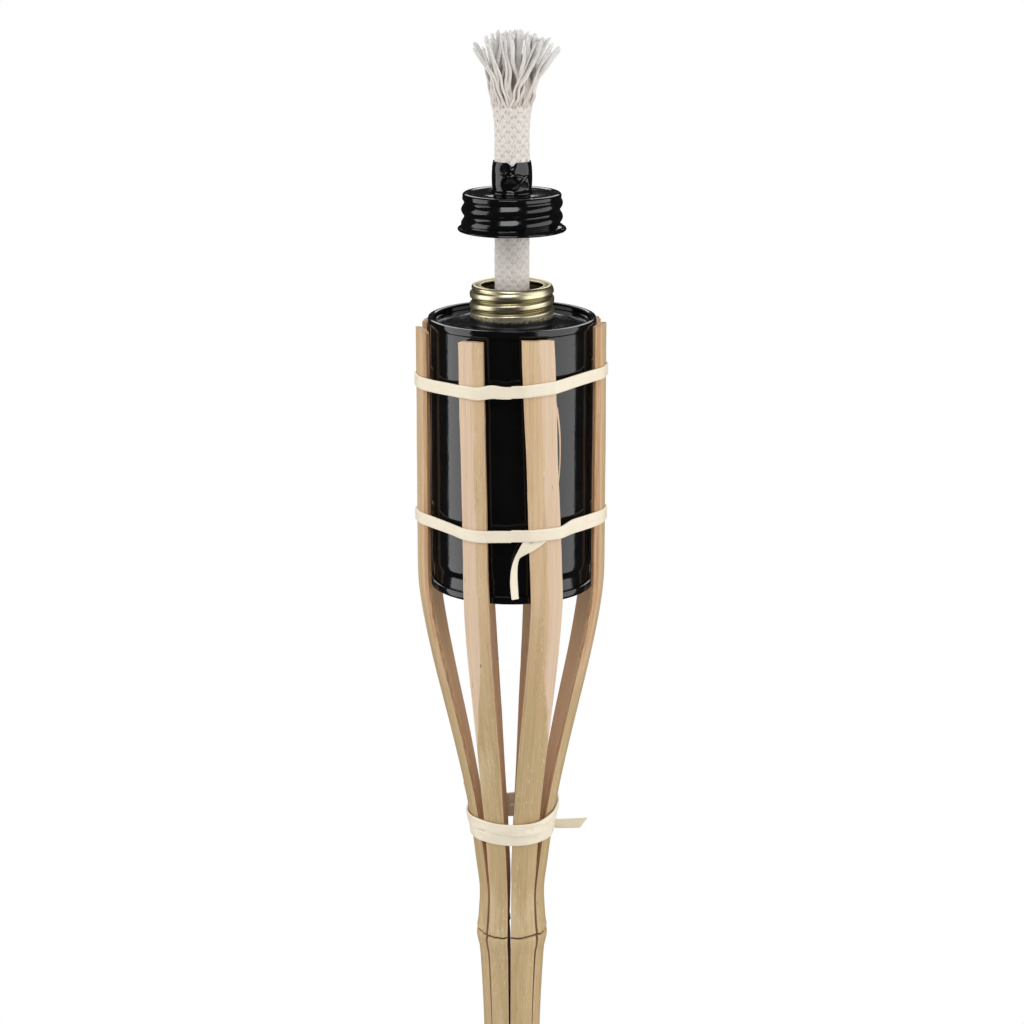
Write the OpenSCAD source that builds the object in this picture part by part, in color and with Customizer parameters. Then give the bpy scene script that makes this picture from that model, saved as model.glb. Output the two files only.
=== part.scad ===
// Bamboo garden torch. The top of a bamboo culm is split into slats that spread
// round an oil canister and are tied with flat elastic bands. A screw cap with a
// crimped tube carries a braided cotton wick, and is drawn up from the filler neck.
// Millimetres, +Z up. The origin is on the axis at ground level, and the stake
// reaches down below it. An azimuth runs from the front (-Y) round towards +X.

/* [Torch] */
// Length from the tip of the stake to the top of the cap when it is screwed down
torch_len = 900; // [820:10:1500]
// Length of the stake below ground level
stake_depth = 210; // [180:5:250]
// Height of the slanted cut at the tip of the stake
tip_cut_h = 38; // [25:1:45]
// Outside diameter of the culm below the split
culm_d = 22; // [21:0.5:24]
// Wall thickness of the culm
culm_wall = 3.6; // [3.2:0.1:4.5]
// Distance from one node of the culm to the next
internode = 205; // [180:5:230]

/* [Slats] */
// Thickness of a slat
slat_t = 2.8; // [2.2:0.1:3.2]
// Room between a slat and the rims of the canister
slat_clear = 0.6; // [0.5:0.1:1]
// Drop from the foot of the canister to the middle of the neck band
neck_drop = 100; // [96:1:106]
// Drop from the foot of the canister to the node that the splits run through
node_drop = 146; // [142:1:152]
// Drop from the foot of the canister to the end of the splits
split_drop = 260; // [240:5:280]
// Outside diameter of the split culm just above that node
node_d = 27.4; // [26:0.2:28]
// Angle left open between one slat and the next
split_gap = 2.6; // [2:0.1:3]

/* [Canister] */
// Diameter over the rims
can_d = 65; // [62:0.5:67]
// Height over the rims
can_h = 107; // [104:1:110]
// Thickness of the sheet steel
sheet = 0.4; // [0.3:0.05:0.5]
// Height of a rolled rim
rim_h = 3.2; // [2.8:0.1:3.6]
// Depth of the top plate below the rim
plate_sink = 2.4; // [2:0.1:2.6]

/* [Filler neck] */
// Diameter over the thread
neck_d = 32.6; // [31:0.2:33]
// Height above the top plate
neck_h = 14.8; // [14.6:0.1:15.2]
// Diameter of the mouth
mouth_d = 24; // [23.4:0.1:25]

/* [Cap] */
// Diameter over the ridges
cap_d = 39; // [38:0.2:41]
// Height over all
cap_h = 14.4; // [14:0.1:14.5]
// How far it is drawn up above its seat on the neck
cap_raise = 34.8; // [30:0.1:36]
// Height of the wick tube above it
tube_h = 12.2; // [11:0.1:13]

/* [Wick] */
// Diameter of the braid
wick_d = 14; // [13:0.1:14.2]
// Length standing above the tube
wick_out = 50.6; // [48:0.2:55]
// Diameter of the frayed tuft
tuft_d = 34; // [28:1:36]

/* [Bands] */
// Width
band_w = 4.9; // [4.5:0.1:5.2]
// Thickness
band_t = 0.9; // [0.7:0.1:1.1]
// Height of the upper band above the foot of the canister
upper_band_z = 84.5; // [80:0.5:90]
// Tilt of the upper band
upper_band_tilt = 3; // [0:0.5:3]
// Height of the lower band above the foot of the canister
lower_band_z = 28.3; // [25:0.5:34]

/* [Hidden] */
$fn = 96;

bamboo = "burlywood";
latex = "cornsilk";
enamel = [0.05, 0.05, 0.055];
brass = [0.72, 0.68, 0.45];
cotton = "linen";

// Each slat: degrees of the culm it is split from, how far it strays sideways by the
// foot and by the top of the canister, and how far below the rim it ends
slat_span = [44, 42, 52, 48, 45, 42, 44, 43];
foot_stray = [-6.8, 1.6, 1.2, 4.4, -1.5, 1, -1.2, 0.8];
top_stray = [-6.8, -0.5, -3, 4.4, -2.2, 1.8, -2, 1.5];
top_drop = [3.8, 3.6, 2.6, 1.4, 2.4, 3.4, 2, 3];
first_split = -91;
slat_per_degree = 0.253;

// Canister, with heights measured from its foot
can_r = can_d / 2;
body_r = can_r - 0.9;
foot_r = can_r - 0.5;
rim_inner_r = body_r - 1.6;
foot_neck_r = foot_r - 1.2;
foot_neck_h = 8;
plate_z = can_h - plate_sink;
neck_top = plate_z + neck_h;

// Cap, tube and wick
cap_sheet = 0.6;
neck_r = neck_d / 2;
cap_r = cap_d / 2;
cap_top = neck_top + cap_sheet + cap_raise;
running = 0.06;
wick_r = wick_d / 2;
tube_bore_r = wick_r + 0.15;
tube_r = tube_bore_r + 0.55;
tube_flange_r = tube_r + 1.6;
tube_bead_r = tube_r + 0.5;
tube_top = cap_top + tube_h;
wick_foot = rim_h + 0.6;
wick_top = tube_top + wick_out;
tuft_start = tube_top + 20;

// Slats and culm. Slat heights are measured from the foot of the canister.
can_foot = torch_len - stake_depth - neck_top - cap_sheet;
culm_r = culm_d / 2;
node_r = node_d / 2;
cage_r = can_r + slat_clear + slat_t;
free_z = -85;
diaphragm = 2;
diaphragm_remnant = 3;

// Cubic Bezier point and curve
function bezier(p, t) =
    pow(1 - t, 3) * p[0] + 3 * pow(1 - t, 2) * t * p[1]
    + 3 * (1 - t) * pow(t, 2) * p[2] + pow(t, 3) * p[3];
function curve(p, n) = [for (k = [0:n]) bezier(p, k / n)];
function sum_to(list, n) = n <= 0 ? 0 : list[n - 1] + sum_to(list, n - 1);
function reverse(list) = [for (k = [len(list) - 1:-1:0]) list[k]];
function inset(list, d) = [for (p = list) [p[0] - d, p[1]]];
function on_ring(r, azimuth) = [r * sin(azimuth), -r * cos(azimuth)];

// Two rolled ridges on a wall of radius r, from height z down
function ridges(r, depth, pitch, z) =
    [for (k = [0:16]) [r + depth * pow(sin(k * 360 / 16), 2), z - 2 * pitch * k / 16]];

// Bamboo node on a wall of radius r: the scar of the sheath between two ridges
function node_bulge(r, z) = [
    [r, z + 7], [r + 0.15, z + 3], [r + 0.45, z + 0.7], [r - 0.05, z],
    [r + 0.4, z - 0.7], [r + 0.6, z - 3], [r + 0.2, z - 5.5], [r - 0.5, z - 8]];

// Outside of the split culm, from the tops of the slats down
slat_outside = concat(
    [[cage_r, can_h]],
    curve([[cage_r, 8], [cage_r, -26], [node_r, -86], [node_r, -136]], 12),
    node_bulge(node_r, -node_drop),
    curve([[node_r - 0.8, -node_drop - 11], [culm_r + 1, -node_drop - 24],
           [culm_r + 0.1, -node_drop - 42], [culm_r, -node_drop - 74]], 6),
    [[culm_r, -split_drop]]);

function slat_r_at(z) = lookup(z, [for (p = slat_outside) [p[1], p[0]]]);

// The wall grows from a slat's to the whole culm's, and keeps the node's diaphragm
function wall_at(z) =
    slat_t + (culm_wall - slat_t) * max(0, -z - node_drop) / (split_drop - node_drop)
    + (abs(z + node_drop) < diaphragm / 2 ? diaphragm_remnant : 0);

// Section of a slat that ends at the height top
function slat_section(top) =
    let (outside = concat([[cage_r, top]], [for (p = slat_outside) if (p[1] < top) p]))
    concat(outside, reverse([for (p = outside) [p[0] - wall_at(p[1]), p[1]]]));

function slat_azimuth(i) = first_split + sum_to(slat_span, i) + slat_span[i] / 2;
function slat_width(i) = slat_span[i] * slat_per_degree;
function stray_at(i, z) =
    lookup(z, [[free_z, 0], [0, foot_stray[i]], [can_h, top_stray[i]]]);

// Bent strip as wide as the slat, seen from outside
module slat_face(i) {
    half = slat_width(i) / 2;
    levels = [-split_drop - 1, free_z, 0, can_h];
    polygon(concat(
        [for (z = levels) [stray_at(i, z) + half, z]],
        reverse([for (z = levels) [stray_at(i, z) - half, z]])));
}

// Above the neck the slat is free, and below it is a wedge of the culm
module slat(i) {
    wedge = slat_span[i] - split_gap;
    spread = 100;
    reach = cage_r + 1;
    color(bamboo)
    translate([0, 0, can_foot])
    rotate([0, 0, slat_azimuth(i) - 90])
    intersection() {
        difference() {
            rotate([0, 0, -spread / 2])
            rotate_extrude(angle = spread)
                polygon(slat_section(can_h - top_drop[i]));
            for (side = [0, 1])
                mirror([0, side, 0])
                rotate([0, 0, wedge / 2])
                translate([0, 0, -split_drop - 1])
                cube([reach, reach, split_drop + 1 + free_z]);
        }
        rotate([90, 0, 90])
        linear_extrude(reach)
            slat_face(i);
    }
}

// Whole part of the culm, hollow between its nodes and cut to a slant at the tip
module pole() {
    top = can_foot - split_drop;
    nodes = [for (z = can_foot - node_drop - internode; z > 10; z = z - internode) z];
    outside = concat(
        [[0, top], [culm_r, top]],
        [for (z = nodes) for (p = node_bulge(culm_r, z)) [max(p[0], culm_r), p[1]]],
        [[culm_r, -stake_depth], [0, -stake_depth]]);
    bore_r = culm_r - culm_wall;
    bore_tops = concat([top + 1], [for (z = nodes) z - diaphragm]);
    bore_feet = concat(nodes, [-stake_depth - 1]);
    color(bamboo)
    difference() {
        rotate_extrude()
        difference() {
            polygon(outside);
            for (k = [0:len(bore_tops) - 1])
                translate([-1, bore_feet[k]])
                square([bore_r + 1, bore_tops[k] - bore_feet[k]]);
        }
        translate([0, culm_r, -stake_depth])
        rotate([-atan(tip_cut_h / culm_d), 0, 0])
        translate([-culm_d, -culm_d * 4, -culm_d * 4])
            cube([culm_d * 2, culm_d * 4, culm_d * 4]);
    }
}

// Line round the slats at height z, which bends over each from corner to corner
function tie_line(r, z) = [
    for (i = [0:len(slat_span) - 1])
        for (side = [-0.5:0.25:0.5])
            on_ring(r, slat_azimuth(i) + asin((stray_at(i, z) + side * slat_width(i)) / r))];

// Flat strip stretched round the slats, with its middle at height z
module hoop(r, z) {
    translate([0, 0, -band_w / 2])
    linear_extrude(band_w)
    difference() {
        polygon(tie_line(r + band_t, z));
        polygon(tie_line(r, z));
    }
}

module upper_band() {
    slack = 0.35;
    color(latex)
    translate([0, 0, can_foot + upper_band_z])
    rotate([0, -upper_band_tilt, 0])
        hoop(cage_r + slack, upper_band_z);
}

// Its loose end hangs down between two slats
module lower_band() {
    slack = 0.2;
    tail_azimuth = 5;
    tail_len = 22;
    tail_w = 3.2;
    color(latex)
    translate([0, 0, can_foot + lower_band_z]) {
        hoop(cage_r + slack, lower_band_z);
        rotate([0, 0, tail_azimuth])
        translate([-tail_w / 2, -cage_r - 0.7, -tail_len])
            cube([tail_w, band_t, tail_len]);
    }
}

// Two turns of one strip, one lapped over the other, with both ends sticking out
module neck_band() {
    slack = 0.15;
    half_pitch = band_w * 0.47;
    over_z = -neck_drop + half_pitch;
    under_z = -neck_drop - half_pitch;
    under_r = slat_r_at(under_z + band_w / 2) + slack;
    over_r = max(slat_r_at(over_z + band_w / 2) + slack, under_r + 0.9 * band_t);
    tail_len = 12;
    end_azimuth = -118;
    end_lean = 14;
    end_len = 11.5;
    color(latex)
    translate([0, 0, can_foot]) {
        translate([0, 0, over_z])
            hoop(over_r, over_z);
        translate([0, 0, under_z])
            hoop(under_r, under_z);
        translate([under_r + 0.1, -band_t, under_z - band_w * 0.4])
            cube([tail_len, band_t, band_w * 0.9]);
        rotate([0, 0, end_azimuth])
        translate([-band_w / 2, -over_r - 0.3, over_z])
        rotate([end_lean, 0, 0])
        translate([0, -band_t, 0])
            cube([band_w, band_t, end_len]);
    }
}

// Side wall, drawn in above the foot, with the lapped seam at the back
module can_body() {
    top = can_h - rim_h;
    outside = [[body_r, top], [body_r, foot_neck_h + 2.5],
               [foot_neck_r, foot_neck_h], [foot_neck_r, rim_h]];
    seam_w = 5;
    seam_t = 0.35;
    color(enamel)
    translate([0, 0, can_foot]) {
        rotate_extrude()
            polygon(concat(outside, reverse(inset(outside, sheet))));
        translate([-seam_w / 2, body_r - 0.1, foot_neck_h + 3])
            cube([seam_w, seam_t + 0.1, top - foot_neck_h - 4]);
    }
}

// Rolled rim of outside radius r, closed by a plate with its underside at plate_low
module can_end(r, plate_low) {
    corner = 0.7;
    width = r - rim_inner_r;
    rotate_extrude()
    translate([rim_inner_r, 0]) {
        square([width - corner, rim_h]);
        translate([0, corner]) square([width, rim_h - 2 * corner]);
        for (z = [corner, rim_h - corner])
            translate([width - corner, z]) circle(corner, $fn = 32);
    }
    translate([0, 0, plate_low])
        cylinder(r = rim_inner_r + 0.1, h = sheet);
}

module can_top_end() {
    color(enamel)
    translate([0, 0, can_foot + can_h - rim_h])
    difference() {
        can_end(can_r, rim_h - plate_sink - sheet);
        translate([0, 0, -1]) cylinder(d = mouth_d, h = rim_h + 2);
    }
}

module can_bottom_end() {
    color(enamel)
    translate([0, 0, can_foot])
        can_end(foot_r, rim_h - sheet);
}

// Straight foot, two rolled ridges and a lip curled in to the mouth
module filler_neck() {
    depth = 0.9;
    root = neck_r - depth;
    wall = 0.7;
    mouth_r = mouth_d / 2;
    pitch = 4.2;
    base_h = 4.8;
    side = concat(
        ridges(root, depth, pitch, neck_h - 0.5),
        [[neck_r - 0.1, base_h], [neck_r - 0.1, 0]]);
    color(brass)
    translate([0, 0, can_foot + plate_z])
    rotate_extrude()
        polygon(concat(
            [[mouth_r, neck_h - 1], [mouth_r + 0.6, neck_h - 0.4],
             [root - 0.8, neck_h]],
            side,
            reverse(inset(side, wall)),
            [[root - 1.4, neck_h - 1.2], [mouth_r, neck_h - 1.6]]));
}

// Tube that grips the wick, with a flange under the cap and a bead above it
module wick_tube() {
    flange_t = 0.6;
    bead_h = 0.8;
    flange_z = -cap_sheet - running - flange_t;
    color(enamel)
    translate([0, 0, can_foot + cap_top])
    difference() {
        union() {
            translate([0, 0, flange_z]) cylinder(r = tube_r, h = tube_h - flange_z);
            translate([0, 0, flange_z]) cylinder(r = tube_flange_r, h = flange_t);
            translate([0, 0, running]) cylinder(r = tube_bead_r, h = bead_h);
        }
        translate([0, 0, flange_z - 1]) cylinder(r = tube_bore_r, h = tube_h + 4);
    }
}

// Pressed sheet with a flat top, two rolled ridges and a flared foot
module cap() {
    depth = 1.1;
    pitch = 4.9;
    root = cap_r - depth;
    flange_r = cap_r + 1.4;
    hole_r = tube_r + running;
    side = concat(
        [[cap_r - 0.2, -1.4]],
        ridges(root, depth, pitch, -2.6),
        [[flange_r, -cap_h + 0.8], [flange_r, -cap_h]]);
    color(enamel)
    translate([0, 0, can_foot + cap_top])
    rotate_extrude()
        polygon(concat(
            [[hole_r, 0], [cap_r - 0.9, 0], [cap_r - 0.2, -0.6]],
            side,
            reverse(inset(side, cap_sheet)),
            [[cap_r - 1.2, -cap_sheet], [hole_r, -cap_sheet]]));
}

// Braid from the floor of the canister up through the tube, and the tuft it frays into
module wick() {
    tuft_r = tuft_d / 2;
    color(cotton)
    translate([0, 0, can_foot])
    rotate_extrude()
        polygon(concat(
            [[0, wick_foot], [wick_r, wick_foot]],
            curve([[wick_r, tuft_start], [wick_r + 1, tuft_start + 10],
                   [tuft_r - 4, wick_top - 14], [tuft_r, wick_top - 6]], 8),
            [[tuft_r - 2, wick_top - 2], [tuft_r / 2, wick_top], [0, wick_top]]));
}

pole();
slat(0);  // slat_1
slat(1);  // slat_2
slat(2);  // slat_3
slat(3);  // slat_4
slat(4);  // slat_5
slat(5);  // slat_6
slat(6);  // slat_7
slat(7);  // slat_8
upper_band();
lower_band();
neck_band();
can_body();
can_top_end();
can_bottom_end();
filler_neck();
wick_tube();
cap();
wick();
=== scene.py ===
"""Looks of the tiki torch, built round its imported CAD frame."""
import math

import bmesh
import bpy
import numpy as np
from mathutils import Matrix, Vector


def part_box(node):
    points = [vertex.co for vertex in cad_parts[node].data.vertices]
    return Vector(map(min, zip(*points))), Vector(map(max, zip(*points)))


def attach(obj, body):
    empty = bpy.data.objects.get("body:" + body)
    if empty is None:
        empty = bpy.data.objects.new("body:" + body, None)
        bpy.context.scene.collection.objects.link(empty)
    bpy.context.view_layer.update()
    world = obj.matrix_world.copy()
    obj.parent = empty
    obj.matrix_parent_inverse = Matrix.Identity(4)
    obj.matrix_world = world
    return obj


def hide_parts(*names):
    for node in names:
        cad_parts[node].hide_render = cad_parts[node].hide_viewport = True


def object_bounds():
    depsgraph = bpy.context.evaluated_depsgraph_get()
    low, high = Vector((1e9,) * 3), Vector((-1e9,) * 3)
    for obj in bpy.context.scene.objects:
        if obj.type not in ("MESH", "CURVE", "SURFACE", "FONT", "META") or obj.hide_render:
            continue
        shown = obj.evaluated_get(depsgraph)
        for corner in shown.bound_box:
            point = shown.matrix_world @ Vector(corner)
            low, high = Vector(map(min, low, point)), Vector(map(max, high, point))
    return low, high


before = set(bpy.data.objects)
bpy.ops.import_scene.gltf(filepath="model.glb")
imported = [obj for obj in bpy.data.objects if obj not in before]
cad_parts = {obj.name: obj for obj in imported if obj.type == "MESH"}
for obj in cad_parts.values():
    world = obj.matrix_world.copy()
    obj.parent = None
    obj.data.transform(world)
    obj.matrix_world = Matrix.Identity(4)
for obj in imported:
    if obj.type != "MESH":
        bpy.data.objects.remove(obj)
cad_box = [list(corner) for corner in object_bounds()]

MM = 0.001
TAU = 2 * math.pi


def ends(node):
    """Heights of a CAD node's foot and top, in mm."""
    return [corner[2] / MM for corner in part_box(node)]


CAN_FOOT, CAN_TOP = ends("can_bottom_end")[0], ends("can_top_end")[1]
NECK_FOOT, NECK_TOP = ends("filler_neck")
CAP_TOP, TUBE_TOP = ends("cap")[1], ends("wick_tube")[1]
WICK_FOOT, WICK_TOP = ends("wick")
POLE_FOOT, POLE_TOP = ends("pole")


def add_object(name, data):
    made = bpy.data.objects.new(name, data)
    bpy.context.scene.collection.objects.link(made)
    return made


def face_from(thing, way):
    """Turns a camera or a lamp that stands this way from its aim towards it."""
    thing.rotation_euler = (-way).to_track_quat("-Z", "Y").to_euler()


# ---------------------------------------------------------------- camera

AIM = Vector((0.0, 0.0, 0.5985))
CAMERA_DISTANCE = 1.15
CAMERA_ELEVATION = math.radians(15.0)

camera_data = bpy.data.cameras.new("camera")
camera_data.sensor_width = 36
camera_data.lens = 103
camera = add_object("camera", camera_data)
towards_camera = Vector((0, -math.cos(CAMERA_ELEVATION), math.sin(CAMERA_ELEVATION)))
camera.location = AIM + CAMERA_DISTANCE * towards_camera
face_from(camera, towards_camera)
bpy.context.scene.camera = camera


# ---------------------------------------------------------------- numbers

def smooth(x, low, high):
    """0 below low, 1 above high, and smooth between them."""
    t = np.clip((np.asarray(x, float) - low) / (high - low), 0, 1)
    return t * t * (3 - 2 * t)


def between(x, low, full, fading, high):
    """0 outside low to high, 1 from full to fading, and smooth between them."""
    return smooth(x, low, full) * (1 - smooth(x, fading, high))


def bell(x, centre, width):
    return np.exp(-((np.asarray(x, float) - centre) / width) ** 2)


def wander(seed, x, period):
    """Smooth random curve from -1 to 1 that turns about once every period."""
    values = np.random.default_rng(seed).uniform(-1, 1, 997)
    k = np.asarray(x, float) / period
    i = np.floor(k).astype(int)
    f = k - i
    f = f * f * (3 - 2 * f)
    return values[i % 997] * (1 - f) + values[(i + 1) % 997] * f


def bumps(seed, u, v, period_u, period_v):
    """The same over two coordinates."""
    values = np.random.default_rng(seed).uniform(-1, 1, (211, 211))
    a, b = np.asarray(u, float) / period_u, np.asarray(v, float) / period_v
    i, j = np.floor(a).astype(int), np.floor(b).astype(int)
    f, g = a - i, b - j
    f, g = f * f * (3 - 2 * f), g * g * (3 - 2 * g)
    row = values[i % 211, j % 211] * (1 - f) + values[(i + 1) % 211, j % 211] * f
    above = values[i % 211, (j + 1) % 211] * (1 - f) + values[(i + 1) % 211, (j + 1) % 211] * f
    return row * (1 - g) + above * g


def bezier(points, t):
    p = [np.array(q, float) for q in points]
    t = np.asarray(t, float)[:, None]
    return (1 - t) ** 3 * p[0] + 3 * (1 - t) ** 2 * t * p[1] + 3 * (1 - t) * t**2 * p[2] + t**3 * p[3]


def stack(*arrays):
    """Arrays as the coordinates of one grid of points."""
    return np.stack(np.broadcast_arrays(*arrays), -1)


def on_ring(radius, azimuth):
    """x and y at an azimuth in radians, which runs from the front (-Y) round towards +X."""
    return radius * np.sin(azimuth), -radius * np.cos(azimuth)


def directions(azimuth):
    """Unit vectors outwards and to the right at an azimuth."""
    sin, cos = math.sin(azimuth), math.cos(azimuth)
    return np.array([sin, -cos, 0]), np.array([cos, sin, 0])


def centred(azimuth):
    """Azimuth from -pi to pi, so that its jump is at the back."""
    return (azimuth + math.pi) % TAU - math.pi


def degrees_at(azimuth):
    return np.degrees(centred(azimuth))


# ---------------------------------------------------------------- meshes

class Shape:
    """Grids of points, in mm, that become one mesh with its own grain coordinates."""

    def __init__(self):
        self.points, self.faces, self.grain, self.kind = [], [], [], []
        self.count = 0

    def add(self, grid, grain, kind, wrap_rows=False, wrap_cols=False, cap=False):
        """grid is rows x columns x 3. cap closes the first and the last row."""
        rows, cols = grid.shape[:2]
        start = self.count
        kind = np.broadcast_to(np.asarray(kind, float), (rows, cols, 4))
        self.points.append(grid.reshape(-1, 3))
        self.grain.append(np.broadcast_to(grain, (rows, cols, 3)).reshape(-1, 3))
        self.kind.append(kind.reshape(-1, 4))
        self.count += rows * cols
        i = np.arange(rows if wrap_rows else rows - 1)
        j = np.arange(cols if wrap_cols else cols - 1)
        i, j = (k.ravel() for k in np.meshgrid(i, j, indexing="ij"))
        i2, j2 = (i + 1) % rows, (j + 1) % cols
        quads = stack(i * cols + j, i * cols + j2, i2 * cols + j2, i2 * cols + j)
        self.faces += (quads + start).tolist()
        if cap:
            self.faces.append((start + np.arange(cols)[::-1]).tolist())
            self.faces.append((start + (rows - 1) * cols + np.arange(cols)).tolist())

    def finish(self, name, body, nodes, slot, material, sharp=38):
        mesh = bpy.data.meshes.new(name)
        mesh.from_pydata((np.concatenate(self.points) * MM).tolist(), [], self.faces)
        mesh.validate()
        grain = mesh.attributes.new("grain", "FLOAT_VECTOR", "POINT")
        grain.data.foreach_set("vector", np.concatenate(self.grain).astype(np.float32).ravel())
        kind = mesh.attributes.new("kind", "FLOAT_COLOR", "POINT")
        kind.data.foreach_set("color", np.concatenate(self.kind).astype(np.float32).ravel())
        mesh.shade_smooth()
        face_outwards(mesh)
        mesh.set_sharp_from_angle(angle=math.radians(sharp))
        mesh.materials.append(material)
        piece = add_object(name, mesh)
        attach(piece, body)
        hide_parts(*nodes)
        return piece


def face_outwards(mesh):
    bm = bmesh.new()
    bm.from_mesh(mesh)
    bmesh.ops.recalc_face_normals(bm, faces=bm.faces)
    bm.to_mesh(mesh)
    bm.free()


def lathe(radius, height, azimuth, kind=(0, 0, 0, 0), closed=True):
    """Turned shape: radius and height are points x azimuths, in mm."""
    radius, height = np.broadcast_arrays(radius, height)
    x, y = on_ring(radius, azimuth[None, :])
    grid = stack(x, y, height + 0 * x)
    along = np.concatenate([[0], np.cumsum(np.hypot(np.diff(radius[:, 0]), np.diff(height[:, 0])))])
    shape = Shape()
    shape.add(grid, stack(x, y, along[:, None]), kind, wrap_rows=closed, wrap_cols=True, cap=not closed)
    return shape


def turned(points, azimuth):
    """Radius and height arrays of a profile of (radius, height) points."""
    p = np.array(points, float)
    return np.repeat(p[:, :1], len(azimuth), 1), np.repeat(p[:, 1:], len(azimuth), 1)


def circle(count):
    return np.arange(count) * TAU / count


# ---------------------------------------------------------------- node materials

class Nodes:
    """Short way to write a node material."""

    def __init__(self, name):
        self.material = bpy.data.materials.new(name)
        self.material.use_nodes = True
        self.tree = self.material.node_tree
        self.tree.nodes.clear()

    def node(self, kind, settings=None, **inputs):
        made = self.tree.nodes.new("ShaderNode" + kind)
        for key, value in (settings or {}).items():
            setattr(made, key, value)
        for key, value in inputs.items():
            self.put(made.inputs[key.replace("_", " ")], value)
        return made

    def put(self, socket, value):
        if isinstance(value, bpy.types.NodeSocket):
            self.tree.links.new(value, socket)
        elif isinstance(value, (tuple, list)) and socket.type == "RGBA" and len(value) == 3:
            socket.default_value = (*value, 1)
        else:
            socket.default_value = value

    def math(self, operation, *values):
        made = self.node("Math", {"operation": operation})
        for socket, value in zip(made.inputs, values):
            self.put(socket, value)
        return made.outputs[0]

    def add(self, a, b):
        return self.math("ADD", a, b)

    def minus(self, a, b):
        return self.math("SUBTRACT", a, b)

    def times(self, a, b):
        return self.math("MULTIPLY", a, b)

    def grain(self, *scale):
        """Grain coordinates in mm: across, through and along, each times its scale."""
        return self.scaled(self.node("Attribute", {"attribute_name": "grain"}).outputs["Vector"], scale)

    def scaled(self, vector, scale):
        made = self.node("VectorMath", {"operation": "MULTIPLY"})
        self.put(made.inputs[0], vector)
        made.inputs[1].default_value = scale
        return made.outputs[0]

    def kind(self):
        """The four numbers that a mesh keeps at each point."""
        made = self.node("Attribute", {"attribute_name": "kind"})
        split = self.node("SeparateColor")
        self.put(split.inputs[0], made.outputs["Color"])
        return (*split.outputs[:3], made.outputs["Alpha"])

    def noise(self, vector, scale=1.0, detail=3.0, rough=0.5, warp=0.0):
        return self.node("TexNoise", Vector=vector, Scale=scale, Detail=detail, Roughness=rough,
                         Distortion=warp).outputs["Fac"]

    def grained(self, across, along, detail=3.0, rough=0.5, warp=0.0):
        """Noise that has one scale across the grain and another along it."""
        return self.noise(self.grain(across, across, along), 1, detail, rough, warp)

    def step(self, value, low, high):
        """0 below low and 1 above high."""
        return self.node("MapRange", {"interpolation_type": "SMOOTHSTEP"},
                         Value=value, From_Min=low, From_Max=high).outputs["Result"]

    def specks(self, across, along, low, high):
        """1 within low of scattered points and 0 beyond high."""
        place = self.grain(across, across, along)
        spots = self.node("TexVoronoi", {"feature": "F1"}, Vector=place, Scale=1.0)
        return self.minus(1.0, self.step(spots.outputs["Distance"], low, high))

    def frayed(self, share, noise, depth):
        """A share whose edge is made ragged by a noise."""
        return self.add(share, self.times(self.minus(noise, 0.5), depth))

    def span(self, value, low, high, to_low, to_high):
        made = self.node("MapRange", Value=value, From_Min=low, From_Max=high, To_Min=to_low, To_Max=to_high)
        return made.outputs["Result"]

    def mix(self, share, a, b):
        made = self.node("Mix", {"data_type": "RGBA"})
        self.put(made.inputs[0], share)
        self.put(made.inputs[6], a)
        self.put(made.inputs[7], b)
        return made.outputs[2]

    def tint(self, color, share, strength, towards):
        """A color drawn towards another by share times strength."""
        return self.mix(self.times(share, strength), color, towards)

    def bump(self, height, distance, strength):
        return self.node("Bump", Height=height, Strength=strength, Distance=distance).outputs[0]

    def shader(self, **inputs):
        made = self.node("BsdfPrincipled", **inputs)
        out = self.node("OutputMaterial")
        self.tree.links.new(made.outputs[0], out.inputs["Surface"])
        return self.material


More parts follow.
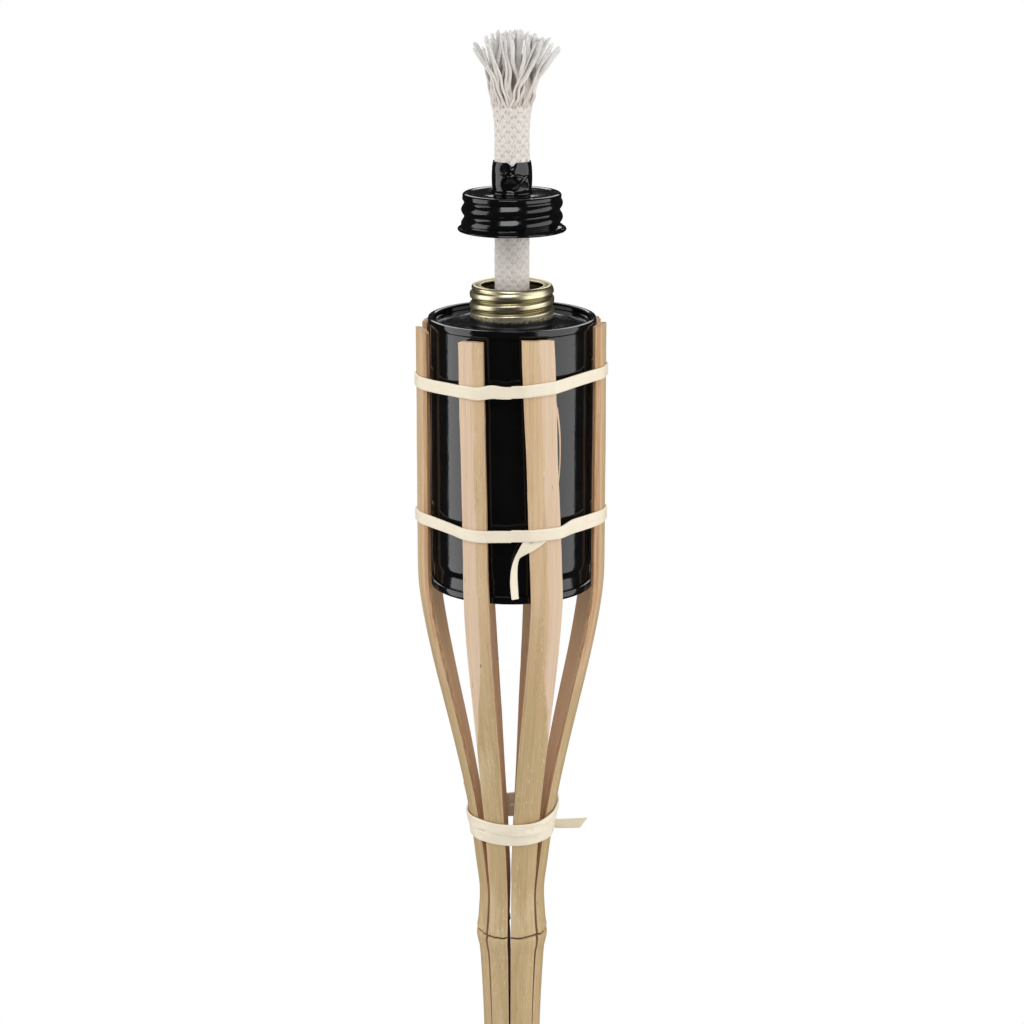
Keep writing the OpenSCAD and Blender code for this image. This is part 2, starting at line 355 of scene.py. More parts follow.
def bamboo_material():
    """Kind is skin, side, inside and age. Grain is across, through and along the culm."""
    m = Nodes("bamboo")
    skin, side, inside, olive = m.kind()
    fibre = m.grained(3.4, 0.035, 4, 0.62)
    streak = m.grained(1.05, 0.012, 3, 0.65)
    fine = m.grained(11, 0.10, 3, 0.6)
    patch = m.grained(0.14, 0.016, 3, 0.55)
    cloud = m.grained(0.4, 0.09, 3, 0.5)
    ragged = m.grained(1.6, 0.05, 4, 0.7)

    # the skin: pale straw that turns olive near the neck, with waxy flecks
    straw = m.mix(patch, (0.565, 0.375, 0.205), (0.70, 0.52, 0.32))
    green = m.mix(cloud, (0.425, 0.295, 0.135), (0.575, 0.435, 0.235))
    skin_color = m.mix(olive, straw, green)
    blotch = m.grained(0.07, 0.017, 4, 0.6)
    for share, strength, towards in (
            (m.step(blotch, 0.48, 0.66), 0.5, (0.50, 0.335, 0.165)),
            (m.step(blotch, 0.44, 0.30), 0.45, (0.72, 0.585, 0.385)),
            (m.step(streak, 0.45, 0.68), 0.45, (0.66, 0.46, 0.265)),
            (m.step(streak, 0.47, 0.30), 0.40, (0.385, 0.25, 0.12)),
            (m.step(fibre, 0.5, 0.74), 0.5, (0.43, 0.27, 0.115))):
        skin_color = m.tint(skin_color, share, strength, towards)
    wax = m.times(m.step(m.grained(1.5, 0.42, 5, 0.78), 0.53, 0.64),
                 m.step(m.grained(0.22, 0.03, 2), 0.44, 0.58))
    skin_color = m.tint(skin_color, wax, 0.5, (0.74, 0.66, 0.50))

    # the cut wood: pinkish cream, with brown fibre bundles that crowd near the skin
    cream = m.mix(patch, (0.655, 0.475, 0.325), (0.755, 0.58, 0.42))
    cream = m.tint(cream, m.step(streak, 0.46, 0.66), 0.35, (0.60, 0.415, 0.26))
    bundle = m.step(m.grained(5.2, 0.022, 2, 0.5), 0.56, 0.70)
    cut_color = m.tint(cream, bundle, 0.42, (0.42, 0.225, 0.105))
    cut_color = m.tint(cut_color, m.step(fine, 0.5, 0.8), 0.35, (0.83, 0.66, 0.47))
    side_color = m.mix(m.step(fibre, 0.36, 0.62), (0.36, 0.175, 0.078), (0.63, 0.41, 0.225))
    inside_color = m.mix(streak, (0.52, 0.32, 0.18), (0.70, 0.49, 0.31))
    cut_color = m.mix(side, cut_color, side_color)
    cut_color = m.mix(inside, cut_color, inside_color)

    is_skin = m.step(m.frayed(skin, ragged, 0.45), 0.34, 0.66)
    color = m.mix(is_skin, cut_color, skin_color)
    dash = m.times(m.step(m.grained(1.7, 0.16, 2, 0.5), 0.69, 0.76), 0.5)
    color = m.mix(dash, color, (0.30, 0.165, 0.07))
    pit = m.specks(0.16, 0.055, 0.030, 0.052)
    color = m.tint(color, pit, 0.75, (0.12, 0.06, 0.03))
    crack = m.math("MINIMUM", side, inside)
    color = m.mix(m.step(m.frayed(crack, ragged, 0.9), 0.45, 0.7),
                  color, (0.115, 0.062, 0.032))

    gloss = m.add(m.span(is_skin, 0, 1, 0.62, 0.40), m.times(fine, 0.12))
    height = m.add(m.times(fibre, 0.7), m.times(fine, 0.3))
    height = m.add(height, m.times(streak, 0.9))
    height = m.minus(height, m.times(pit, 1.5))
    normal = m.bump(height, 0.00018, 0.7)
    return m.shader(Base_Color=color, Roughness=gloss, Normal=normal, Specular_IOR_Level=0.35)


def enamel_material():
    """Kind is scuff. Gloss black paint with orange peel, dust nibs and rubbed edges."""
    m = Nodes("black_enamel")
    scuff = m.kind()[0]
    peel = m.grained(0.75, 0.75, 2, 0.4)
    mottle = m.grained(0.09, 0.09, 4, 0.6)
    nib = m.specks(0.42, 0.42, 0.035, 0.075)
    scratch = m.step(m.grained(0.22, 3.1, 2, 0.6, 0.6), 0.70, 0.74)
    rub = m.step(m.add(scuff, m.grained(1.4, 1.4, 4, 0.7)), 1.02, 1.25)
    color = m.mix(mottle, (0.0022, 0.0022, 0.0026), (0.0046, 0.0045, 0.0047))
    color = m.tint(color, nib, 0.22, (0.10, 0.10, 0.09))
    color = m.tint(color, rub, 0.45, (0.085, 0.08, 0.075))
    gloss = m.add(m.span(mottle, 0.3, 0.7, 0.07, 0.15),
                   m.add(m.times(scratch, 0.18), m.times(rub, 0.25)))
    height = m.add(m.times(peel, 0.6),
                    m.add(m.times(nib, 0.5), m.times(scratch, -0.25)))
    normal = m.bump(height, 0.00006, 0.6)
    return m.shader(Base_Color=color, Roughness=gloss, Normal=normal, IOR=1.55)


def brass_material():
    """Kind is overspray and shade. Gold lacquer with drawn marks, and black overspray at its foot."""
    m = Nodes("gold_lacquer")
    spray, shade = m.kind()[:2]
    brushed = m.grained(0.05, 3.5, 3, 0.6)
    cloud = m.grained(0.3, 0.3, 4, 0.6)
    ragged = m.grained(0.8, 1.1, 5, 0.75)
    black = m.step(m.frayed(spray, ragged, 0.75), 0.32, 0.66)
    gold = m.mix(cloud, (0.67, 0.595, 0.37), (0.79, 0.73, 0.52))
    # painted shade: the kind's second number darkens the gold in grooves and hollows
    gold = m.mix(shade, gold, (0.17, 0.13, 0.035))
    color = m.mix(black, gold, (0.012, 0.012, 0.012))
    gloss = m.add(m.span(brushed, 0.3, 0.7, 0.26, 0.38), m.times(cloud, 0.06))
    height = m.add(m.times(brushed, 0.5), m.times(black, 0.6))
    normal = m.bump(height, 0.00004, 0.6)
    metal = m.span(black, 0, 1, 1.0, 0.0)
    return m.shader(Base_Color=color, Metallic=metal, Roughness=gloss, Normal=normal)


def latex_material():
    """Kind is a painted highlight along the strip's rims and place across. Cream latex strip: faint flow
    lines along it, powder and specks.
    """
    m = Nodes("latex")
    edge, across = m.kind()[:2]
    place = m.node("VectorMath", {"operation": "ADD"})
    m.put(place.inputs[0], m.grain(0.05, 0.05, 0))
    m.put(place.inputs[1], m.node("CombineXYZ", Z=m.times(across, 22.0)).outputs[0])
    flow = m.noise(place.outputs[0], 1, 3, 0.6)
    cloud = m.grained(0.16, 0.25, 4, 0.6)
    powder = m.grained(2.2, 2.2, 4, 0.7)
    speck = m.specks(0.4, 0.4, 0.03, 0.07)
    color = m.mix(cloud, (0.80, 0.69, 0.515), (0.89, 0.82, 0.675))
    color = m.tint(color, m.step(flow, 0.5, 0.75), 0.25, (0.74, 0.62, 0.44))
    color = m.tint(color, m.step(powder, 0.5, 0.7), 0.22, (0.88, 0.83, 0.72))
    # painted highlight: the strip's rims are drawn paler
    color = m.tint(color, edge, 0.5, (0.90, 0.84, 0.70))
    color = m.tint(color, speck, 0.35, (0.45, 0.33, 0.18))
    gloss = m.span(cloud, 0.3, 0.7, 0.40, 0.52)
    height = m.add(m.times(flow, 0.7), m.times(powder, 0.3))
    normal = m.bump(height, 0.00007, 0.5)
    return m.shader(Base_Color=color, Roughness=gloss, Normal=normal, Specular_IOR_Level=0.42,
                    Subsurface_Weight=0.12, Subsurface_Scale=0.0015, Subsurface_Radius=(1.0, 0.75, 0.5))


def cotton_material():
    """Kind is painted shade (where a yarn dips under its neighbours, over the core and at the tuft's roots),
    tip and a darker tone that differs from yarn to yarn. Unbleached cotton yarn, twisted from fine fibres.
    """
    m = Nodes("cotton")
    painted_under_shade, tip, shade = m.kind()[:3]
    twist = m.grained(4.2, 0.9, 3, 0.65, 0.4)
    fuzz = m.grained(9, 2.6, 4, 0.75)
    patch = m.grained(0.35, 0.12, 3, 0.6)
    color = m.mix(patch, (0.86, 0.80, 0.75), (0.94, 0.91, 0.88))
    color = m.tint(color, m.step(twist, 0.46, 0.72), 0.30, (0.66, 0.585, 0.52))
    # painted shade: darker where a yarn dips under its neighbours, over the core and at the tuft's roots
    color = m.tint(color, painted_under_shade, 0.75, (0.44, 0.35, 0.29))
    color = m.tint(color, shade, 0.55, (0.74, 0.635, 0.53))
    color = m.tint(color, tip, 0.8, (0.90, 0.90, 0.885))
    gloss = m.span(fuzz, 0.3, 0.7, 0.82, 0.95)
    color = m.tint(color, m.step(fuzz, 0.56, 0.40), 0.30, (0.62, 0.54, 0.47))
    height = m.add(m.times(twist, 0.6), m.times(fuzz, 0.4))
    normal = m.bump(height, 0.00045, 1.0)
    return m.shader(Base_Color=color, Roughness=gloss, Normal=normal, Sheen_Weight=0.25, Sheen_Roughness=0.5,
                    Specular_IOR_Level=0.2)


BAMBOO = bamboo_material()
ENAMEL = enamel_material()
BRASS = brass_material()
LATEX = latex_material()
COTTON = cotton_material()


# ---------------------------------------------------------------- bamboo

CAN_R = 32.5
BODY_R = 31.6
RIM_H = 3.2
SHEET = 0.4
CULM_R = 11.0
CULM_WALL = 3.6
NODE_R = 13.7
CAGE_R = 35.9
SLAT_T = 2.8
NODE_DROP = 146.0
INTERNODE = 205.0
POLE_NODES = [CAN_FOOT - NODE_DROP - k * INTERNODE for k in (1, 2)]
POLE_SLANT = 38.0
SPLIT_DROP = CAN_FOOT - POLE_TOP
WIDTH_PER_DEGREE = 0.253
HALF_SLAT = 5.5
FRONT_SLAT = 2
FIRST_SPLIT = -91.0
SPAN = [44, 42, 52, 48, 45, 42, 44, 43]
FOOT_STRAY = [-6.8, 1.6, 1.2, 4.4, -1.5, 1, -1.2, 0.8]
TOP_STRAY = [-6.8, -0.5, -3, 4.4, -2.2, 1.8, -2, 1.5]
FREE_Z = -85.0
GAP_SHARE = [0.9, 1.3, 1.35, 1.2, 0.6, 0.1, 0.07, 0.6]


def node_bulge(radius, z):
    """Outline of a bamboo node, from above it down: a ridge, the sheath's scar and a wider ridge."""
    steps = [(0, 7), (0.12, 3.4), (0.5, 1.2), (0.48, 0.5), (-0.35, 0.22), (-0.35, -0.22), (0.35, -0.7),
             (0.66, -1.9), (0.56, -3.2), (0.1, -5.5), (-0.5, -8)]
    return [(radius + r, z + up) for r, up in steps]


def slat_outline():
    """Outside of the split culm as (height above the can's foot, radius), from the bottom up."""
    bow = bezier([(CAGE_R, 8), (CAGE_R, -26), (NODE_R, -86), (NODE_R, -136)], np.linspace(0, 1, 60))
    foot = bezier([(NODE_R - 0.8, -NODE_DROP - 11), (CULM_R + 1, -NODE_DROP - 24),
                   (CULM_R + 0.1, -NODE_DROP - 42), (CULM_R, -NODE_DROP - 74)], np.linspace(0, 1, 20))
    line = [(CAGE_R, 110), *bow, *node_bulge(NODE_R, -NODE_DROP), *foot, (CULM_R, -SPLIT_DROP - 5)]
    line = np.array(line)[::-1]
    return line[:, 1], line[:, 0]


OUTLINE_Z, OUTLINE_R = slat_outline()


def slat_radius(z):
    return np.interp(z, OUTLINE_Z, OUTLINE_R) - 0.7 * bell(z, -129, 9)


def round_node(azimuth):
    """Place round a node, in mm, for the random curves of its scar."""
    return azimuth * 14 + 200


def slat_azimuth(i):
    return math.radians(FIRST_SPLIT + sum(SPAN[:i]) + SPAN[i] / 2)


def stray(i, z):
    return np.interp(z, [FREE_Z, 0, CAN_TOP - CAN_FOOT], [0, FOOT_STRAY[i], TOP_STRAY[i]])


def skin_wander(azimuth, z):
    """How far the culm's surface wanders from round, which the slats and the pole share."""
    x, y = on_ring(1.0, azimuth)
    return 0.07 * bumps(11, x + 40, z + 1000, 0.8, 31) + 0.06 * bumps(12, y + 40, z + 1000, 0.9, 23)


# Each slat: where its ridge is across it (-1 left to 1 right), how rounded the ridge is, the drop from
# there to each edge, where skin is left on it and where it is fibrous like its sides (from, to), and how
# its top is cut (slope, chip side)
LOOK_NAMES = ("crest", "soft", "drops", "skin", "fibrous", "slope", "chip")
SLAT_LOOKS = [dict(zip(LOOK_NAMES, row)) for row in (
    (0.35, 0.10, (0.7, 0.9), (-2, 2), (0.55, 2), 0.03, 0.4),
    (0.22, 0.06, (0.9, 0.40), (0.18, 2), (2, 3), -0.04, -0.5),
    (-0.10, 0.55, (0.5, 0.8), (-2, 0.10), (2, 3), 0.05, 0.6),
    (-0.25, 0.08, (1.2, 0.8), (-2, 2), (-3, -0.42), -0.05, 0.5),
    (0.1, 0.2, (0.8, 0.8), (-0.3, 2), (2, 3), 0.04, -0.3),
    (-0.15, 0.1, (0.7, 0.9), (-2, 0.4), (2, 3), 0.06, 0.4),
    (0.2, 0.3, (0.9, 0.6), (-0.1, 2), (2, 3), -0.06, -0.6),
    (0.0, 0.1, (0.8, 0.8), (-2, 2), (0.7, 2), 0.02, 0.3),
)]
HALF_U = [0.06, 0.2, 0.34, 0.5, 0.66, 0.82, 0.94, 1]
OUTER_U = np.array([-u for u in HALF_U[::-1]] + HALF_U)
SIDE_V = np.array([0.16, 0.4, 0.65, 0.9])
INNER_U = np.array([0.97, 0.8, 0.5, 0.2, -0.1, -0.4, -0.7, -0.9, -0.97])


def slat_half_width(i, z):
    """Half the width across a slat, which is a wedge of the culm below the neck."""
    gap = np.interp(z, [-SPLIT_DROP + 2, -SPLIT_DROP + 60, -NODE_DROP, -125, -100, -70],
                    [0, 2.6, 4.2, 5.6, 8.6, 9.5])
    gap = GAP_SHARE[i] * (gap + 0.5 * wander(i + 80, z, 24) * smooth(z, -SPLIT_DROP + 20, -SPLIT_DROP + 60))
    wedge = (slat_radius(z) + skin_wander(slat_azimuth(i), z)) * np.sin(np.radians(SPAN[i] - gap) / 2)
    free = SPAN[i] * WIDTH_PER_DEGREE / 2 * (1 - 0.13 * (1 - smooth(z, -95, -15)))
    return -np.log(np.exp(-4 * wedge) + np.exp(-4 * free)) / 4


def slat_section(i, z):
    """Sideways and radial place of the points round slat i at the heights z, from its left edge outside."""
    z = np.asarray(z, float)[:, None]
    look = SLAT_LOOKS[i]
    radius = slat_radius(z)
    wall = SLAT_T + (CULM_WALL - SLAT_T) * np.maximum(0, -z - NODE_DROP) / (SPLIT_DROP - NODE_DROP)
    wall = wall + 2.2 * bell(z, -NODE_DROP - 0.5, 1.6)
    bend = np.minimum(radius, NODE_R + 0.6)
    planed = 0.35 * smooth(z, -142, -122) + 0.65 * smooth(z, -95, -25)
    half = slat_half_width(i, z)
    half = half + planed * (0.16 * wander(i + 50, z, 19) + 0.05 * wander(i + 60, z, 4.3))

    t = OUTER_U[None, :] * half
    arc = bend - np.sqrt(np.maximum(bend**2 - t**2, 1))
    crest = look["crest"] + 0.12 * wander(i + 20, z, 37)
    u = OUTER_U[None, :]
    slack = np.sqrt((u - crest) ** 2 + look["soft"] ** 2)
    left = look["drops"][0] * (slack + crest - u) / 2 / (1 + crest)
    right = look["drops"][1] * (slack + u - crest) / 2 / (1 - crest)
    drop = arc * (1 - planed) + (left + right) * planed
    chamfer = 0.22 * smooth(np.abs(u), 0.93, 1.0)
    azimuth = slat_azimuth(i) + t / radius
    outer = radius - drop - chamfer + skin_wander(azimuth, z) * (1 - planed)
    outer = outer + planed * 0.09 * (wander(i + 30, z, 33) - 1)

    inner_half = half * (1 - planed) * (bend - wall) / bend + half * planed * 0.95
    t_in = INNER_U[None, :] * inner_half
    arc_in = radius - bend + np.sqrt(np.maximum((bend - wall) ** 2 - t_in**2, 1))
    flat_in = radius - SLAT_T + 0.12 * (1 + wander(i + 40, z, 21))
    inner = arc_in * (1 - planed) + flat_in * planed

    v = SIDE_V[None, :]
    right_t = t[:, -1:] * (1 - v) + t_in[:, :1] * v
    right_r = outer[:, -1:] * (1 - v) + inner[:, :1] * v
    left_t = t_in[:, -1:] * v[:, ::-1] + t[:, :1] * (1 - v[:, ::-1])
    left_r = inner[:, -1:] * v[:, ::-1] + outer[:, :1] * (1 - v[:, ::-1])
    sideways = np.concatenate([t, right_t, t_in, left_t], 1) + stray(i, z)
    radial = np.concatenate([outer, right_r, inner, left_r], 1)
    return sideways, radial


def slat_points(i, sideways, radial, z):
    azimuth = slat_azimuth(i)
    x = radial * math.sin(azimuth) + sideways * math.cos(azimuth)
    y = -radial * math.cos(azimuth) + sideways * math.sin(azimuth)
    return stack(x, y, z + 0 * x + CAN_FOOT)


def make_slat(i):
    top = ends(f"slat_{i + 1}")[1] - CAN_FOOT
    look = SLAT_LOOKS[i]
    # the rows stand closer at the node and at the cut top
    spans = [(-SPLIT_DROP, -NODE_DROP - 9, 40), (-NODE_DROP - 9, -NODE_DROP + 8, 46),
             (-NODE_DROP - 1.2, -NODE_DROP + 1.2, 21), (-NODE_DROP + 8, 0, 90),
             (0, top - 6, 70), (top - 6, top, 12)]
    z = np.unique(np.round(np.concatenate([np.linspace(*span) for span in spans]), 4))
    sideways, radial = slat_section(i, z)
    count = sideways.shape[1]

    # the top is cut by hand: a slope, a chipped corner and torn fibres
    u = (sideways - stray(i, z)[:, None]) / (0.5 * SPAN[i] * WIDTH_PER_DEGREE)
    near = smooth(z, top - 6, top)[:, None]
    chip = 1.3 * np.maximum(0, u * np.sign(look["chip"]) - abs(look["chip"])) ** 1.5
    torn = 0.16 * (1 + wander(i + 70, u * HALF_SLAT, 1.7)) + 0.1 * (1 + wander(i + 71, u * HALF_SLAT, 0.5))
    tilt = abs(look["slope"]) * HALF_SLAT * (1 + np.sign(look["slope"]) * u)
    drop = (tilt + chip + torn) * near
    z_of = z[:, None] - drop
    # the node's scar runs unevenly round the culm
    around = round_node(slat_azimuth(i) + sideways / np.maximum(radial, 8))
    scar = 0.45 * wander(5, around, 5.1)
    z_of = z_of + bell(z_of, -NODE_DROP, 9) * scar
    jag = 0.22 * wander(6, around, 0.9) + 0.15 * wander(7, around, 0.41)
    z_of = z_of + bell(z, -NODE_DROP, 0.9)[:, None] * jag
    if i == FRONT_SLAT:
        radial = radial + bud_scar(sideways, z_of, radial, z)
    grid = slat_points(i, sideways, radial, z_of)

    outer, side = len(OUTER_U), len(SIDE_V)
    kind = np.zeros((len(z), count, 4))
    # the planed part runs out towards the slat's edge below the canister
    low, high = look["skin"]
    run_out = smooth(-z, 18, 92)[:, None] + 0.05 * wander(i + 90, z, 11)[:, None]
    low = low - run_out * (low + 1.5)
    high = high + run_out * (1.5 - high)
    across, blur = u[:, :outer], 0.1 + 0.5 * look["soft"]
    kind[:, :outer, 0] = smooth(across, low - blur, low + blur) - smooth(across, high - blur, high + blur)
    low, high = look["fibrous"]
    fibrous = between(across, low - 0.05, low + 0.05, high - 0.05, high + 0.05)
    kind[:, :outer, 1] = fibrous * smooth(z, -60, -10)[:, None]
    kind[:, :outer, 0] *= 1 - kind[:, :outer, 1]
    kind[:, [0, outer - 1], 0] *= 0.3
    kind[:, outer:outer + side, 1] = 1
    kind[:, count - side:, 1] = 1
    kind[:, outer + side:count - side, 2] = 1 - 0.35 * smooth(z, -20, 10)[:, None]
    kind[:, :, 3] = (1 - smooth(z, -60, 10))[:, None]
    dark = (0.9 * bell(z, -NODE_DROP, 0.34) + 0.38 * bell(z, -NODE_DROP, 1.1))[:, None]
    kind[:, :outer, 1:3] = np.maximum(kind[:, :outer, 1:3], dark[:, :, None])
    grain = stack(sideways + 37 * i, radial - slat_radius(z)[:, None], z_of)
    shape = Shape()
    shape.add(grid, grain, kind, wrap_cols=True, cap=True)
    if i == FRONT_SLAT:
        add_sliver(shape, i)
    return shape.finish(f"slat_{i + 1}_bamboo", "stand", [f"slat_{i + 1}"], "bamboo_slat", BAMBOO)


def bud_scar(sideways, z_of, radial, z):
    """Small pointed scar of a bud on the front slat, above the node."""
    outside = radial > slat_radius(z)[:, None] - 1.5
    across, up = sideways - 2.6, z_of + NODE_DROP - 14.5
    inside = np.hypot(across / 0.95, up / 2.6)
    return outside * (0.28 * bell(inside, 1.0, 0.28) - 0.22 * smooth(-inside, -0.75, 0))


def add_sliver(shape, i):
    """Strip of fibre that has peeled away from the slat's right edge."""
    s = np.linspace(0, 1, 40)
    z = 79 - 35 * s
    edge_t, edge_r = slat_section(i, z)
    corner = len(OUTER_U) - 1
    away = 1.25 * np.sin(math.pi * np.clip(s * 1.12, 0, 1)) ** 0.8 + 0.15
    width = 0.75 * (1 - 0.75 * s) * smooth(s, 0, 0.06) + 0.06
    t = edge_t[:, corner] + away - 0.25
    r = edge_r[:, corner] - 0.5 + 0.25 * np.sin(3 * s)
    ring = np.array([(-0.5, -0.5), (0.5, -0.35), (0.5, 0.35), (-0.5, 0.5)])
    sideways = t[:, None] + width[:, None] * ring[None, :, 0]
    radial = r[:, None] + 0.45 * width[:, None] * ring[None, :, 1]
    sideways[-1], sideways[0] = edge_t[-1, corner] - 0.2, edge_t[0, corner] + 0.35
    grid = slat_points(i, sideways, radial, z[:, None])
    grain = stack(sideways + 90, radial, z[:, None] + 0 * radial)
    shape.add(grid, grain, (0.35, 0, 0, 0.3), wrap_cols=True, cap=True)


for slat in range(8):
    make_slat(slat)


def node_scar(azimuth):
    """How unevenly the scar of a pole's node runs round it."""
    around = round_node(azimuth)
    return 0.5 * wander(5, around, 5.1) + 0.16 * wander(6, around, 0.9)


def pole_radius(azimuth, z):
    """Outside of the culm below the split, with its two nodes."""
    radius = CULM_R + 0 * z
    for node_z in POLE_NODES:
        line = np.array(node_bulge(CULM_R, node_z))[::-1]
        line[0, 0] = CULM_R
        level = z + node_scar(azimuth)
        near = np.abs(level - node_z) < 7.5
        radius = np.where(near, np.interp(level, line[:, 1], line[:, 0]), radius)
    return radius + skin_wander(azimuth, z - CAN_FOOT)


def make_pole():
    azimuth = circle(120)
    bore = CULM_R - CULM_WALL
    z = np.unique(np.round(np.concatenate(
        [np.linspace(POLE_FOOT, POLE_TOP, 90)] + [np.linspace(n - 9, n + 8, 80) for n in POLE_NODES]), 3))
    z = z[z <= POLE_TOP][:, None]

    def slant(radius):
        """Height of the stake's slanting cut at a radius, one row of it."""
        return (POLE_FOOT + (CULM_R + np.cos(azimuth) * radius) / (2 * CULM_R) * POLE_SLANT)[None, :]

    def level(radius, height):
        return np.full((1, len(azimuth)), radius), np.zeros((1, len(azimuth))) + height

    # rows that fall below the slant bunch up on it
    share = np.linspace(0, 1, len(z))[:, None]
    outside_z = np.where(z < slant(CULM_R), slant(CULM_R) + 0.02 * share, z)
    skin = np.zeros((*outside_z.shape, 4)) + (1, 0, 0, 0.45)
    for node_z in POLE_NODES:
        skin[:, :, 1:3] += bell(outside_z + node_scar(azimuth)[None, :], node_z, 0.36)[:, :, None]
        skin[:, :, 3] += 0.55 * bell(outside_z, node_z, 55)
    skin[:, :, 3] += 0.55 * smooth(outside_z, POLE_TOP - 60, POLE_TOP)

    # from the middle of the lower diaphragm, down the bore, over the cut face, up the outside,
    # over the top and down to the upper diaphragm
    upper, lower = POLE_NODES[0], POLE_NODES[1] - 2
    hollow = (0, 0, 1, 0.5)
    parts = [(*level(r, lower), hollow) for r in (0.2, 3, 6)]
    parts += [(*level(bore, lower * (1 - f) + slant(bore) * f), hollow) for f in np.linspace(0, 1, 14)]
    for f in np.linspace(0.04, 0.96, 9):
        r = bore * (1 - f) + CULM_R * f
        parts.append((*level(r, slant(r)), (0, 0.6, 0, 0)))
    parts.append((pole_radius(azimuth[None, :], outside_z), outside_z, np.minimum(skin, 1)))
    for f in np.linspace(0.04, 1, 7):
        parts.append((*level(CULM_R * (1 - f) + bore * f, POLE_TOP), (0, 0.5, 0, 0)))
    parts += [(*level(bore, POLE_TOP * (1 - f) + upper * f), hollow) for f in np.linspace(0.004, 1, 12)]
    parts += [(*level(r, upper), hollow) for r in (6, 3, 0.2)]
    radius, height = (np.concatenate([p[k] for p in parts]) for k in (0, 1))
    kind = np.concatenate([np.broadcast_to(p[2], (*p[0].shape, 4)) for p in parts])
    x, y = on_ring(radius, azimuth[None, :])
    shape = Shape()
    shape.add(stack(x, y, height), stack(x, y, height - CAN_FOOT), kind, wrap_cols=True, cap=True)
    return shape.finish("pole_bamboo", "stand", ["pole"], "bamboo_culm", BAMBOO)


make_pole()


# ---------------------------------------------------------------- canister

def make_can_body():
    foot, top = CAN_FOOT + RIM_H, CAN_TOP - RIM_H
    around = circle(180)
    outside = [(30.8, foot - 0.6), (30.8, CAN_FOOT + 7.2), (30.95, CAN_FOOT + 8.4), (31.35, CAN_FOOT + 9.6),
               (BODY_R, CAN_FOOT + 10.8)]
    outside += [(BODY_R, z) for z in np.linspace(CAN_FOOT + 12, top - 3, 40)] + [(BODY_R, top + 0.4)]
    outside = np.array(outside)
    inside = outside[::-1] - np.array([SHEET, 0])
    radius, height = turned(np.concatenate([outside, inside]), around)
    # the lapped side seam is at the back, and the sheet has a few shallow dents
    edge = math.cos(2.5 / BODY_R)
    seam = smooth(np.cos(around - math.pi), edge - 0.0006, edge + 0.0002)
    on_wall = between(height, CAN_FOOT + 12, CAN_FOOT + 15, top - 3, top - 1)
    radius = radius + 0.35 * seam[None, :] * on_wall
    along = around[None, :] * 30 + 0 * height
    dent = 0.10 * bumps(3, along, height, 24, 33) + 0.03 * bumps(4, along, height, 8, 11)
    fade = between(height, CAN_FOOT + 9, CAN_FOOT + 20, top - 14, top - 3)
    radius = radius - np.abs(dent) * fade
    shape = lathe(radius, height, around)
    return shape.finish("canister_side", "canister", ["can_body"], "black_enamel", ENAMEL)


def rim_profile(radius, low):
    """Rolled rim from height low up, and the radius inside it."""
    high = low + RIM_H
    inner = BODY_R - 1.6
    ring = [(inner + 0.05, low + 0.5), (inner + 0.7, low + 0.02), (radius - 0.7, low),
            (radius - 0.2, low + 0.25), (radius, low + 0.8), (radius, high - 0.9),
            (radius - 0.2, high - 0.25), (radius - 0.75, high), (radius - 1.5, high - 0.05),
            (inner + 0.45, high - 0.35), (inner, high - 0.9)]
    return ring, inner


def make_can_top():
    plate = NECK_FOOT
    around = circle(180)
    ring, inner = rim_profile(CAN_R, CAN_TOP - RIM_H)
    # the plate steps down from the rim, with a shallow pressed ring round the neck
    top_side = [(inner, plate + 0.35), (inner - 0.45, plate + 0.03)]
    radii = np.linspace(inner - 1.2, 17.2, 22)
    top_side += [(r, plate + 0.12 * bell(r, 24.5, 1.6) - 0.12 * bell(r, 21.5, 1.3)) for r in radii]
    top_side += [(16.2, plate), (12.05, plate), (12.0, plate - 0.1)]
    under = [(12.0, plate - 0.3), (12.1, plate - 0.4), (20, plate - 0.4), (inner - 0.5, plate - 0.4),
             (inner - 0.02, plate - 0.45)]
    radius, height = turned(ring + top_side + under, around)
    height = height + 0.03 * bumps(8, around[None, :] * 20 + 0 * height, radius, 14, 6) * \
        smooth(-np.abs(radius - 23.5), -5, -3)
    kind = np.zeros((*radius.shape, 4))
    kind[:len(ring), :, 0] = 0.28
    shape = lathe(radius, height, around, kind)
    return shape.finish("canister_top", "canister", ["can_top_end"], "black_enamel", ENAMEL)


def make_can_bottom():
    around = circle(180)
    low = CAN_FOOT
    ring, inner = rim_profile(CAN_R - 0.5, low)
    plate = low + 2.8
    under = [(inner + 0.3, low + 0.9), (inner, low + 1.4), (inner, plate - 0.4), (inner - 0.5, plate)]
    under += [(r, plate - 0.25 * bell(r, 24, 2.2)) for r in np.linspace(inner - 2, 0.2, 18)]
    over = [(r, plate + 0.4 - 0.25 * bell(r, 24, 2.2)) for r in np.linspace(0.2, inner - 2, 18)]
    over += [(inner - 0.3, plate + 0.4)]
    radius, height = turned(over + ring[::-1] + under, around)
    kind = np.zeros((*radius.shape, 4))
    kind[len(over):len(over) + len(ring), :, 0] = 0.3
    shape = lathe(radius, height, around, kind, closed=False)
    return shape.finish("canister_bottom", "canister", ["can_bottom_end"], "black_enamel", ENAMEL)


def thread(height, azimuth, crest, pitch, sharpness=1.0):
    """0 to 1 over a right-hand thread whose ridge passes height crest at the front."""
    turn = (height - crest) / pitch - azimuth / TAU
    return (0.5 + 0.5 * np.cos(TAU * turn)) ** sharpness


